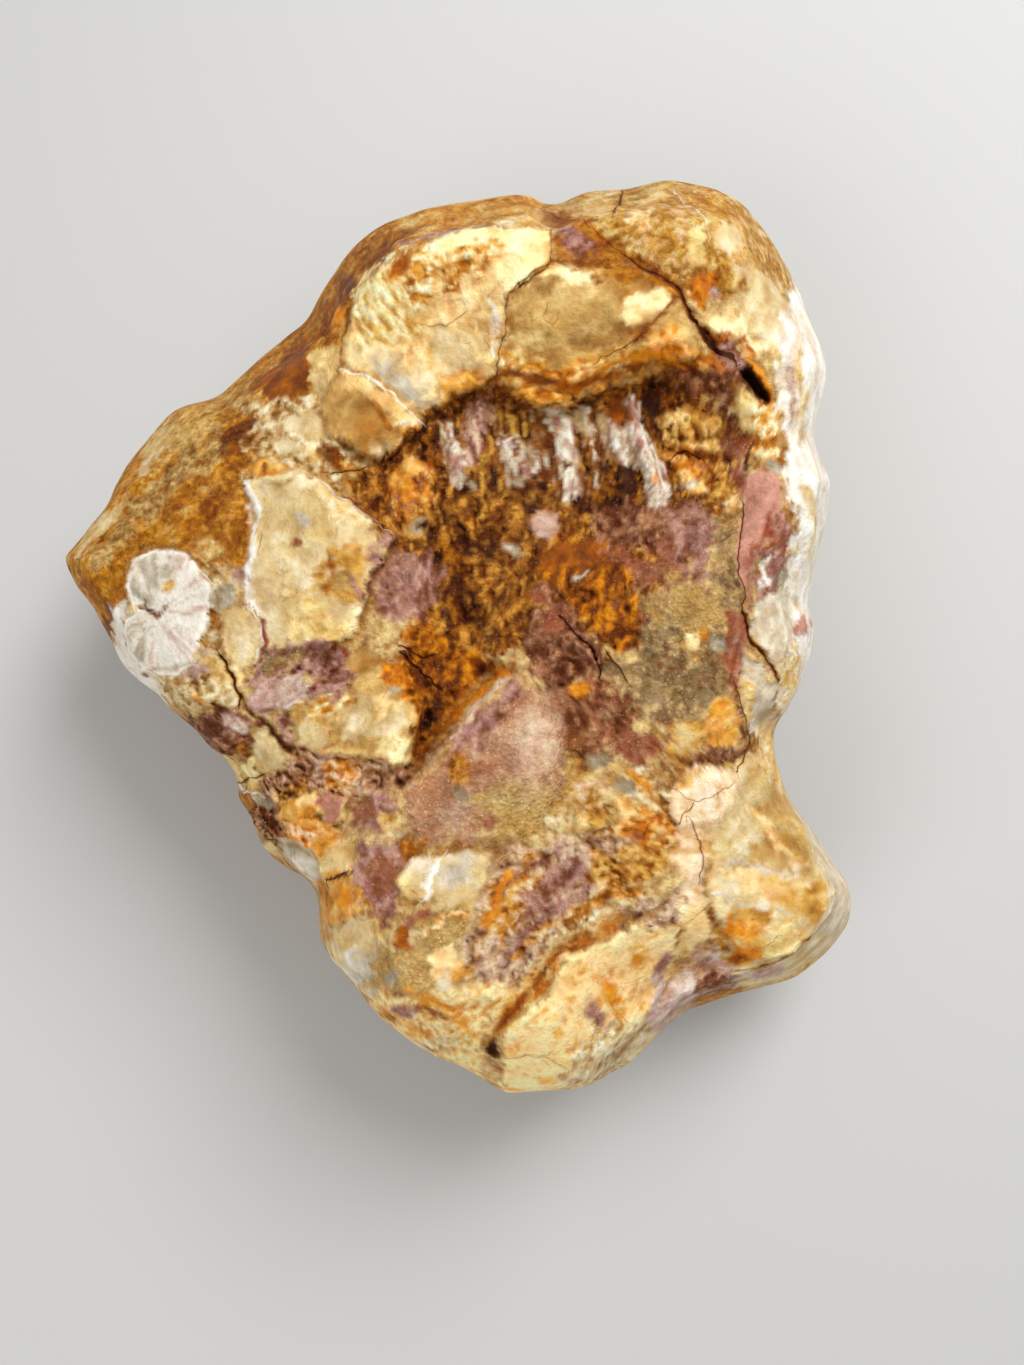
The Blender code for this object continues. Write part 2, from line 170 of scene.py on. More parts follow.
RUST_CHIP = [(320, 795), (346, 794), (344, 815), (330, 823), (322, 812)]
ORANGE_CHIP = [(282, 820), (325, 818), (343, 828), (320, 845), (296, 843)]
GREY_CHIP = [(276, 840), (300, 842), (318, 856), (318, 892), (298, 880), (280, 862)]
STRAW_CHIP = [(222, 757), (262, 722), (290, 735), (290, 770), (262, 775), (262, 791), (232, 782)]

# Plates, ledges and hollows: (outline, height, rise per 100 points right, rise per 100 down, edge)
LEDGES = [
    (HOLLOW, -5.0, 0.5, 2.5, 75),
    (BRIGHT_PLATE, 2.2, 1.0, -1.0, 4),
    (TAN_PLATE, 2.0, -0.5, -1.0, 4),
    (THIN_FLAKE, 2.0, 1.5, 1.0, 3),
    (CREAM_PLATE, 1.8, 2.0, -1.5, 4),
    (GLOSSY_LUMP, 2.2, 2.0, 0.0, 5),
    (PIT, -3.0, 0.0, 0.0, 36),
    (SMOOTH_PLATE, 1.3, 0.0, 0.5, 20),
    (LOWER_FLAKE, 1.4, -0.5, -1.0, 7),
    (BOTTOM_LOBE, 2.0, -0.5, -0.8, 8),
    (KNOB, 1.4, 0.0, 0.0, 14),
    (RIGHT_LOBE, 1.4, 0.5, 0.5, 10),
    (BRICK_FACE, 1.0, 0.0, 0.0, 6),
    (RIGHT_BLOCK, 0.5, 0.0, 0.0, 7),
    (GOLD_CHIP, 1.4, 2.0, -2.0, 5),
    (RUST_CHIP, 1.0, 2.0, 3.0, 5),
    (ORANGE_CHIP, 1.0, -2.0, -4.0, 4),
    (GREY_CHIP, -1.0, 0.0, 3.0, 5),
    (STRAW_CHIP, -0.8, 2.0, 0.0, 5),
    ([(442, 372), (470, 367), (480, 380), (468, 395), (444, 398)], 0.8, 0.0, 0.0, 4),
    ([(660, 410), (690, 400), (718, 412), (716, 445), (690, 450), (664, 440)], 1.4, 0.0, 0.0, 5),
    ([(676, 470), (700, 460), (722, 470), (716, 490), (690, 492)], 1.0, 0.0, 0.0, 4),
    ([(734, 382), (757, 396), (755, 425), (740, 424), (733, 405)], 0.9, 0.0, 0.0, 4),
    ([(752, 590), (793, 588), (790, 640), (778, 660), (756, 640)], 0.5, 0.0, 0.0, 7),
    ([(224, 612), (252, 608), (266, 625), (262, 655), (235, 668), (226, 645)], 0.7, 0.0, 0.0, 4),
    ([(126, 575), (140, 552), (163, 546), (186, 552), (206, 566), (214, 608), (196, 660), (152, 670),
      (124, 650), (122, 628)], 0.7, 0.0, 0.0, 4),
    ([(264, 680), (300, 672), (314, 690), (290, 705), (252, 702)], 0.9, 0.0, 0.0, 5),
    ([(679, 630), (697, 630), (696, 650), (684, 649)], 0.8, 0.0, 0.0, 3),
    ([(578, 806), (600, 800), (608, 820), (590, 838), (575, 830)], 1.2, 0.0, 0.0, 5),
    ([(383, 480), (410, 455), (432, 462), (430, 505), (408, 515)], 1.2, 0.0, 0.0, 5),
    ([(252, 474), (256, 456), (272, 452), (296, 468), (284, 478)], 1.4, 0.0, -4.0, 4),
]

# Cracks and grooves: (line, half width at its start, half width at its end, depth)
GROOVES = [
    ([(624, 250), (652, 268), (675, 282), (693, 308)], 4, 4, 0.4),
    ([(686, 298), (704, 324), (720, 346)], 3.5, 4, 0.7),
    ([(718, 344), (740, 366)], 8, 9, 0.8),
    ([(743, 368), (758, 388)], 8, 11, 3.6),
    ([(615, 182), (613, 206)], 3, 2, 0.4),
    ([(550, 222), (550, 265), (512, 285), (502, 322), (492, 374)], 3, 3, 0.3),
    ([(741, 606), (746, 633), (766, 657), (778, 680)], 4, 3, 0.5),
    ([(563, 612), (591, 650), (599, 674)], 4, 3, 0.9),
    ([(224, 652), (236, 680), (245, 695), (272, 722), (300, 756)], 4, 5, 1.0),
    ([(358, 265), (348, 300), (346, 357)], 5, 5, 1.0),
    ([(488, 1050), (504, 1026), (541, 977), (559, 952), (593, 934), (638, 917), (700, 880)], 12, 9, 0.7),
    ([(564, 668), (566, 710), (570, 753)], 34, 28, 1.6),
    ([(488, 672), (455, 705), (425, 742), (414, 760)], 20, 16, 3.0),
    ([(313, 942), (322, 905), (345, 880)], 6, 6, 1.0),
    ([(780, 727), (760, 745), (735, 752), (712, 765)], 14, 10, 0.6),
    ([(640, 330), (618, 350), (590, 362)], 3, 2, 0.5),
    ([(350, 845), (372, 880), (380, 930)], 16, 10, 1.2),
    ([(486, 1036), (494, 1052)], 8, 8, 2.0),
    ([(384, 440), (400, 470), (384, 505)], 10, 8, 1.4),
]

# White ribs that stand in the hollow: (line, half width, height)
RIBS = [
    ([(482, 398), (478, 420), (469, 462)], 16, 1.8),
    ([(449, 420), (454, 446), (464, 476)], 13, 1.4),
    ([(500, 430), (512, 452), (520, 478)], 14, 1.0),
    ([(560, 404), (562, 450), (570, 491)], 18, 1.5),
    ([(586, 402), (588, 440), (594, 470)], 12, 1.1),
    ([(612, 410), (618, 430), (624, 450)], 16, 1.3),
    ([(632, 392), (640, 430), (650, 470), (658, 504)], 15, 2.6),
]

# Broken faces round the sides and belly: (degrees round from the right, degrees down, cut)
BREAKS = [
    (5, 42, 5.0), (48, 30, 2.5), (95, 46, 6.0), (138, 34, 3.0), (172, 44, 6.0), (212, 30, 2.5),
    (245, 50, 6.0), (288, 34, 3.0), (325, 50, 6.0), (30, 66, 5.0), (120, 68, 5.0), (200, 60, 6.0),
    (268, 70, 4.0), (345, 62, 5.0),
]

# Waves that every drawn edge on the face follows: (size, reach, seed right, seed down, octaves)
WANDER = ((38.0, 4.0, 11, 23, 3), (8.0, 1.7, 31, 43, 2))

# How far in from the outline, in picture points, each relief reaches its full height
SWELL_FADE = 45.0
LEDGE_FADE = 20.0
GRAIN_FADE = 14.0

# The crease at the outline is rounded: how far down the sides, in radians from the outline, how
# far in on the face, in picture points, and how many times its points are evened out
CREASE_DOWN = 0.12
CREASE_IN = 16.0
CREASE_ROUNDS = 14

# Where down the sides, in radians, the paint of the upper face ends and its hairlines end
PAINT_END = 0.35
LINES_END = 0.02

# Faces kept down the sides: (from, to, how many times the side share)
THINNING = ((0.36, 9.0, 0.3), (0.07, 0.36, 1.0), (0.0, 0.07, 3.6))

# How many times the points are evened out to tell small hollows and wide ones
NEAR_ROUNDS, WIDE_ROUNDS = 4, 40

# Share of the solid's box that the stone fills
BOX_SHARE = 0.9995

# How much of its red, green and blue a hollow place loses, as iron stain and as painted shade, and the
# brightest colour
HOLLOW_STAIN_AND_SHADE = np.array((0.22, 0.40, 0.66))
BRIGHTEST = 0.98

# Hairlines, in picture points: a distance where there is none, how far beside one its width is
# kept, and the largest distance written
NO_LINE = 99.0
LINE_REACH = 7.0
LINE_LIMIT = 9.0

# The middle of the ringed crusts, and how often their rays go round
RING_MIDDLE = (160.0, 612.0)
RAYS = 9.0

# Large numbers that scramble a cell's place to a number that looks random, and two bit masks
SCRAMBLE = (374761393, 668265263, 2147483647, 974634777)
SCRAMBLE_AGAIN = 1274126177
WHOLE = 0xFFFFFFFF
PART = 0xFFFFFF


def tone(name, words, red, green, blue):
    """A colour of the stone, given as it shows on a screen."""
    levels = [level / 255.0 for level in (red, green, blue)]
    linear = [x / 12.92 if x <= 0.04045 else ((x + 0.055) / 1.055) ** 2.4 for x in levels]
    return bpy.props.FloatVectorProperty(
        name=name, description=words, subtype="COLOR", size=3, min=0.0, max=1.0, default=linear
    )


class StoneTones(bpy.types.PropertyGroup):
    chalk: tone("Chalk", "White chalcedony crusts and ribs", 252, 250, 242)
    pearl: tone("Pearl", "Greyish white crust", 232, 226, 212)
    ash: tone("Ash", "Grey chalcedony", 198, 186, 164)
    bone: tone("Bone", "Pale waxy chalcedony", 242, 230, 196)
    ivory: tone("Ivory", "Pale yellow chalcedony", 252, 242, 192)
    cream: tone("Cream", "Cream chalcedony", 232, 206, 138)
    butter: tone("Butter", "Warm pale yellow chalcedony", 250, 218, 156)
    peach: tone("Peach", "Pale pinkish cream", 242, 214, 176)
    straw: tone("Straw", "Yellow-tan rind", 234, 198, 128)
    gold: tone("Gold", "Golden stain", 224, 160, 62)
    honey: tone("Honey", "Dull golden stain", 202, 152, 64)
    tawny: tone("Tawny", "Ochre rind", 212, 142, 22)
    ochre: tone("Ochre", "Strong ochre rind", 172, 106, 16)
    umber: tone("Umber", "Dark ochre rind", 152, 94, 16)
    sienna: tone("Sienna", "Reddish rind", 138, 70, 6)
    amber: tone("Amber", "Bright orange stain", 224, 142, 18)
    orange: tone("Orange", "Deep orange stain", 192, 106, 6)
    rust: tone("Rust", "Rusty brown stain", 158, 86, 8)
    brown: tone("Brown", "Brown porous matter", 146, 88, 26)
    bark: tone("Bark", "Dark brown matter", 100, 48, 8)
    # The darkest brown: painted shade in the bottoms of cracks and holes and in the pores of dark matter
    shade_brown: tone("Shade brown", "Bottoms of cracks and holes", 60, 25, 6)
    khaki: tone("Khaki", "Olive-cream chalcedony", 210, 184, 130)
    sage: tone("Sage", "Olive-tan chalcedony", 192, 154, 88)
    olive: tone("Olive", "Olive chalcedony", 170, 128, 64)
    moss: tone("Moss", "Grey-green chalcedony", 146, 122, 82)
    slate: tone("Slate", "Blue-grey chalcedony", 164, 154, 132)
    tan: tone("Tan", "Tan chalcedony", 202, 166, 112)
    lilac: tone("Lilac", "Pale lilac chalcedony", 204, 170, 156)
    heather: tone("Heather", "Dusky lilac chalcedony", 190, 148, 132)
    mauve: tone("Mauve", "Mauve granular matter", 164, 116, 106)
    plum: tone("Plum", "Purple-brown matter", 124, 74, 50)
    rose: tone("Rose", "Pink-brown drusy skin", 182, 132, 98)
    shell: tone("Shell", "Pale drusy skin", 214, 184, 156)
    brick: tone("Brick", "Smooth brick-pink chalcedony", 190, 136, 118)
    redstone: tone("Redstone", "Brick-red stain", 156, 98, 70)
    red: tone("Red", "Dark red stain", 148, 68, 38)


class StoneForm(bpy.types.PropertyGroup):
    squares: bpy.props.IntProperty(
        name="Squares", description="A third of the squares along each edge of the block",
        default=87, min=20, max=87
    )
    side_share: bpy.props.FloatProperty(
        name="Side share", description="Share of the faces kept on the sides below the rim", default=0.12
    )
    grain_size: bpy.props.FloatProperty(
        name="Grain size", description="Width of the grains that the surface is rough with", default=0.0011,
        unit="LENGTH"
    )


class StageSettings(bpy.types.PropertyGroup):
    floor: tone("Floor", "Plain pale floor", 196, 196, 194)
    sky: bpy.props.FloatProperty(
        name="Fill", description="Strength of the light from all round", default=0.4
    )
    key: bpy.props.FloatProperty(
        name="Key", description="Power of the main light", default=5.2, unit="POWER"
    )
    side: bpy.props.FloatProperty(
        name="Side", description="Power of the side light", default=3.0, unit="POWER"
    )


# Helpers for the form

def smooth(x):
    x = np.clip(x, 0.0, 1.0)
    return x * x * (3.0 - 2.0 * x)


def from_run(u, v, start, run):
    """The share of the way along a straight run that is nearest to (u, v), and how far it is."""
    right, down = u - start[0], v - start[1]
    share = np.clip((right * run[0] + down * run[1]) / (run[0] * run[0] + run[1] * run[1]), 0.0, 1.0)
    return share, np.hypot(right - share * run[0], down - share * run[1])


def inside(outline, u, v):
    """How far (u, v) is inside a closed outline; outside it is negative."""
    corners = np.array(outline, float)
    nearest = np.full(u.shape, 1e9)
    within = np.zeros(u.shape, bool)
    for start, end in zip(corners, np.roll(corners, -1, axis=0)):
        run = end - start
        nearest = np.minimum(nearest, from_run(u, v, start, run)[1])
        if run[1] != 0.0:
            crossing = (start[1] > v) != (end[1] > v)
            within ^= crossing & (u < start[0] + (v - start[1]) * run[0] / run[1])
    return np.where(within, nearest, -nearest)


def beside(line, u, v):
    """How far (u, v) is from an open line, less than nothing on its left, and the share of the way."""
    corners = np.array(line, float)
    runs = len(corners) - 1
    nearest = np.full(u.shape, 1e9)
    side = np.ones(u.shape)
    way = np.zeros(u.shape)
    for number in range(runs):
        start, run = corners[number], corners[number + 1] - corners[number]
        share, far = from_run(u, v, start, run)
        way = np.where(far < nearest, (number + share) / runs, way)
        turned = np.sign((v - start[1]) * run[0] - (u - start[0]) * run[1])
        side = np.where(far < nearest, turned, side)
        nearest = np.minimum(nearest, far)
    return nearest * side, way


def across_ellipse(u, v, middle, radii, turn):
    """Place of (u, v) in a turned ellipse, along and across, 1 at its edge."""
    c, s = cos(radians(turn)), sin(radians(turn))
    right, down = u - middle[0], v - middle[1]
    return (right * c - down * s) / radii[0], (right * s + down * c) / radii[1]


def scatter(i, j, k, seed):
    """A fixed number from 0 to 1 for each cell of a grid."""
    mixed = sum(part * factor for part, factor in zip((i, j, k, seed), SCRAMBLE)) & WHOLE
    mixed = ((mixed ^ (mixed >> 13)) * SCRAMBLE_AGAIN) & WHOLE
    return ((mixed ^ (mixed >> 16)) & PART) / float(PART)


def cells(x, y, z):
    return [np.floor(part).astype(np.int64) for part in (x, y, z)]


def waves(x, y, z, seed):
    """Smooth uneven waves, from -1 to 1, about one to each unit."""
    i, j, k = cells(x, y, z)
    weights = []
    for part, cell in ((x, i), (y, j), (z, k)):
        share = part - cell
        weights.append(share * share * share * (share * (share * 6.0 - 15.0) + 10.0))
    total = 0.0
    for a in (0, 1):
        for b in (0, 1):
            for c in (0, 1):
                weight = 1.0
                for step, share in zip((a, b, c), weights):
                    weight = weight * (share if step else 1.0 - share)
                total = total + weight * scatter(i + a, j + b, k + c, seed)
    return 2.0 * total - 1.0


def ripples(x, y, z, seed, octaves=3):
    """Waves with finer waves on them."""
    total = 0.0
    for octave in range(octaves):
        fine = 2.0 ** octave
        turn = 0.6 + octave
        along = cos(turn) * x - sin(turn) * y
        across = sin(turn) * x + cos(turn) * y
        total = total + waves(along * fine, across * fine, z * fine, seed + octave) / fine
    return total


def scoops(x, y, z, seed):
    """Shallow shell-shaped chips that meet in sharp ridges, about one to each unit."""
    i, j, k = cells(x, y, z)
    lowest = np.full(x.shape, 1e9)
    for a in (-1, 0, 1):
        for b in (-1, 0, 1):
            for c in (-1, 0, 1):
                cell = (i + a, j + b, k + c)
                off = [
                    part - corner - scatter(*cell, seed + axis)
                    for axis, (part, corner) in enumerate(zip((x, y, z), cell))
                ]
                level = 0.55 * sum(part * part for part in off) - 0.5 * scatter(*cell, seed + 3)
                lean = (scatter(*cell, seed + 4) - 0.5) * off[0] + (scatter(*cell, seed + 5) - 0.5) * off[1]
                lowest = np.minimum(lowest, level + lean)
    return lowest


def facets(x, y, seed):
    """Broken faces about one unit wide that meet in sharp ridges: a number for each and the height."""
    i, j, k = cells(x, y, np.zeros(x.shape))
    lowest, number = np.full(x.shape, 9.0), np.zeros(x.shape)
    for a in (-1, 0, 1):
        for b in (-1, 0, 1):
            cell = (i + a, j + b, k)
            across = x - cell[0] - scatter(*cell, seed)
            along = y - cell[1] - scatter(*cell, seed + 1)
            slope = (scatter(*cell, seed + 2) - 0.5) * across + (scatter(*cell, seed + 3) - 0.5) * along
            level = 0.3 * (np.abs(across) + np.abs(along)) + 1.2 * slope + 0.4 * scatter(*cell, seed + 4)
            number = np.where(level < lowest, scatter(*cell, seed + 5), number)
            lowest = np.minimum(lowest, level)
    return number, lowest


def crags(x, y, z, seed):
    """Uneven ridges with sharp crests, about one to each unit, from 0 between them to 1."""
    total = np.zeros(x.shape)
    for octave, weight in enumerate((0.5, 0.3, 0.2)):
        fine = 1.9 ** octave
        wave = waves(x * fine, y * fine, z * fine + 0.37 * octave, seed + octave)
        total += weight * np.clip(1.0 - 1.7 * np.abs(wave), 0.0, 1.0)
    return total


def round_value(table, angle):
    degrees, values = np.array(table, float).T
    return np.interp(np.degrees(angle), degrees, values)


def outline_radius(angle):
    corners = np.array(OUTLINE, float) - HEART
    angles = np.arctan2(-corners[:, 1], corners[:, 0])
    return np.interp(angle, angles, np.hypot(*corners.T), period=2.0 * pi)


def around(angle, out=1.0):
    """Picture points at a share of the way from the heart to the outline."""
    reach = out * outline_radius(angle)
    return HEART[0] + reach * np.cos(angle), HEART[1] - reach * np.sin(angle)


def wander(u, v):
    """Moves picture points a little, so that nothing on the face has a drawn edge."""
    level = np.zeros(u.shape)
    moved_u, moved_v = u, v
    for size, reach, seed_u, seed_v, octaves in WANDER:
        moved_u = moved_u + reach * ripples(u / size, v / size, level, seed_u, octaves)
        moved_v = moved_v + reach * ripples(u / size, v / size, level, seed_v, octaves)
    return moved_u, moved_v


# The upper face

def upper_height(u, v):
    """Height in millimetres of the upper face at the picture points (u, v)."""
    angle = np.arctan2(HEART[1] - v, u - HEART[0])
    wander_u, wander_v = wander(u, v)
    depth_in = inside(OUTLINE, u, v)

    low = round_value(OUTLINE_HEIGHTS, angle)
    rise = np.clip(depth_in / round_value(SHOULDER_WIDTHS, angle), 0.0, 1.0)
    shoulder = np.sqrt(np.clip(1.0 - (1.0 - rise) ** SHOULDER_ROUNDNESS, 0.0, 1.0))
    height = low + (CROWN_HEIGHT - low) * shoulder

    for middle, radii, turn, lift in SWELLS:
        along, across = across_ellipse(u, v, middle, radii, turn)
        height += lift * np.exp(-0.7 * (along ** 2 + across ** 2)) * smooth(depth_in / SWELL_FADE)

    for outline, lift, right, down, edge in LEDGES:
        mid_u, mid_v = np.mean(np.array(outline, float), axis=0)
        mask = smooth(inside(outline, wander_u, wander_v) / edge + 0.5) * smooth(depth_in / LEDGE_FADE)
        height += mask * (lift + right * (u - mid_u) / 100.0 + down * (v - mid_v) / 100.0)
    for line, start, end, depth in GROOVES:
        far, way = beside(line, wander_u, wander_v)
        half = start + (end - start) * way
        height -= depth * (1.0 - smooth(np.abs(far) / half)) * smooth(depth_in / 10.0 + 0.3)
    for line, half, lift in RIBS:
        far, way = beside(line, wander_u, wander_v)
        taper = np.sqrt(np.clip(4.0 * way * (1.0 - way), 0.0, 1.0) + 0.1)
        height += lift * (1.0 - smooth(np.abs(far) / half)) * taper
    return height


def sight(u, v, height):
    """Place in metres of the picture points (u, v) at a height in metres."""
    right = (u - EYE_MIDDLE[0]) / EYE_FOCUS
    up = (EYE_MIDDLE[1] - v) / EYE_FOCUS
    away = up * cos(EYE_TILT) + sin(EYE_TILT)
    down = cos(EYE_TILT) - up * sin(EYE_TILT)
    reach = (EYE_HEIGHT - height) / down
    return reach * right, reach * away


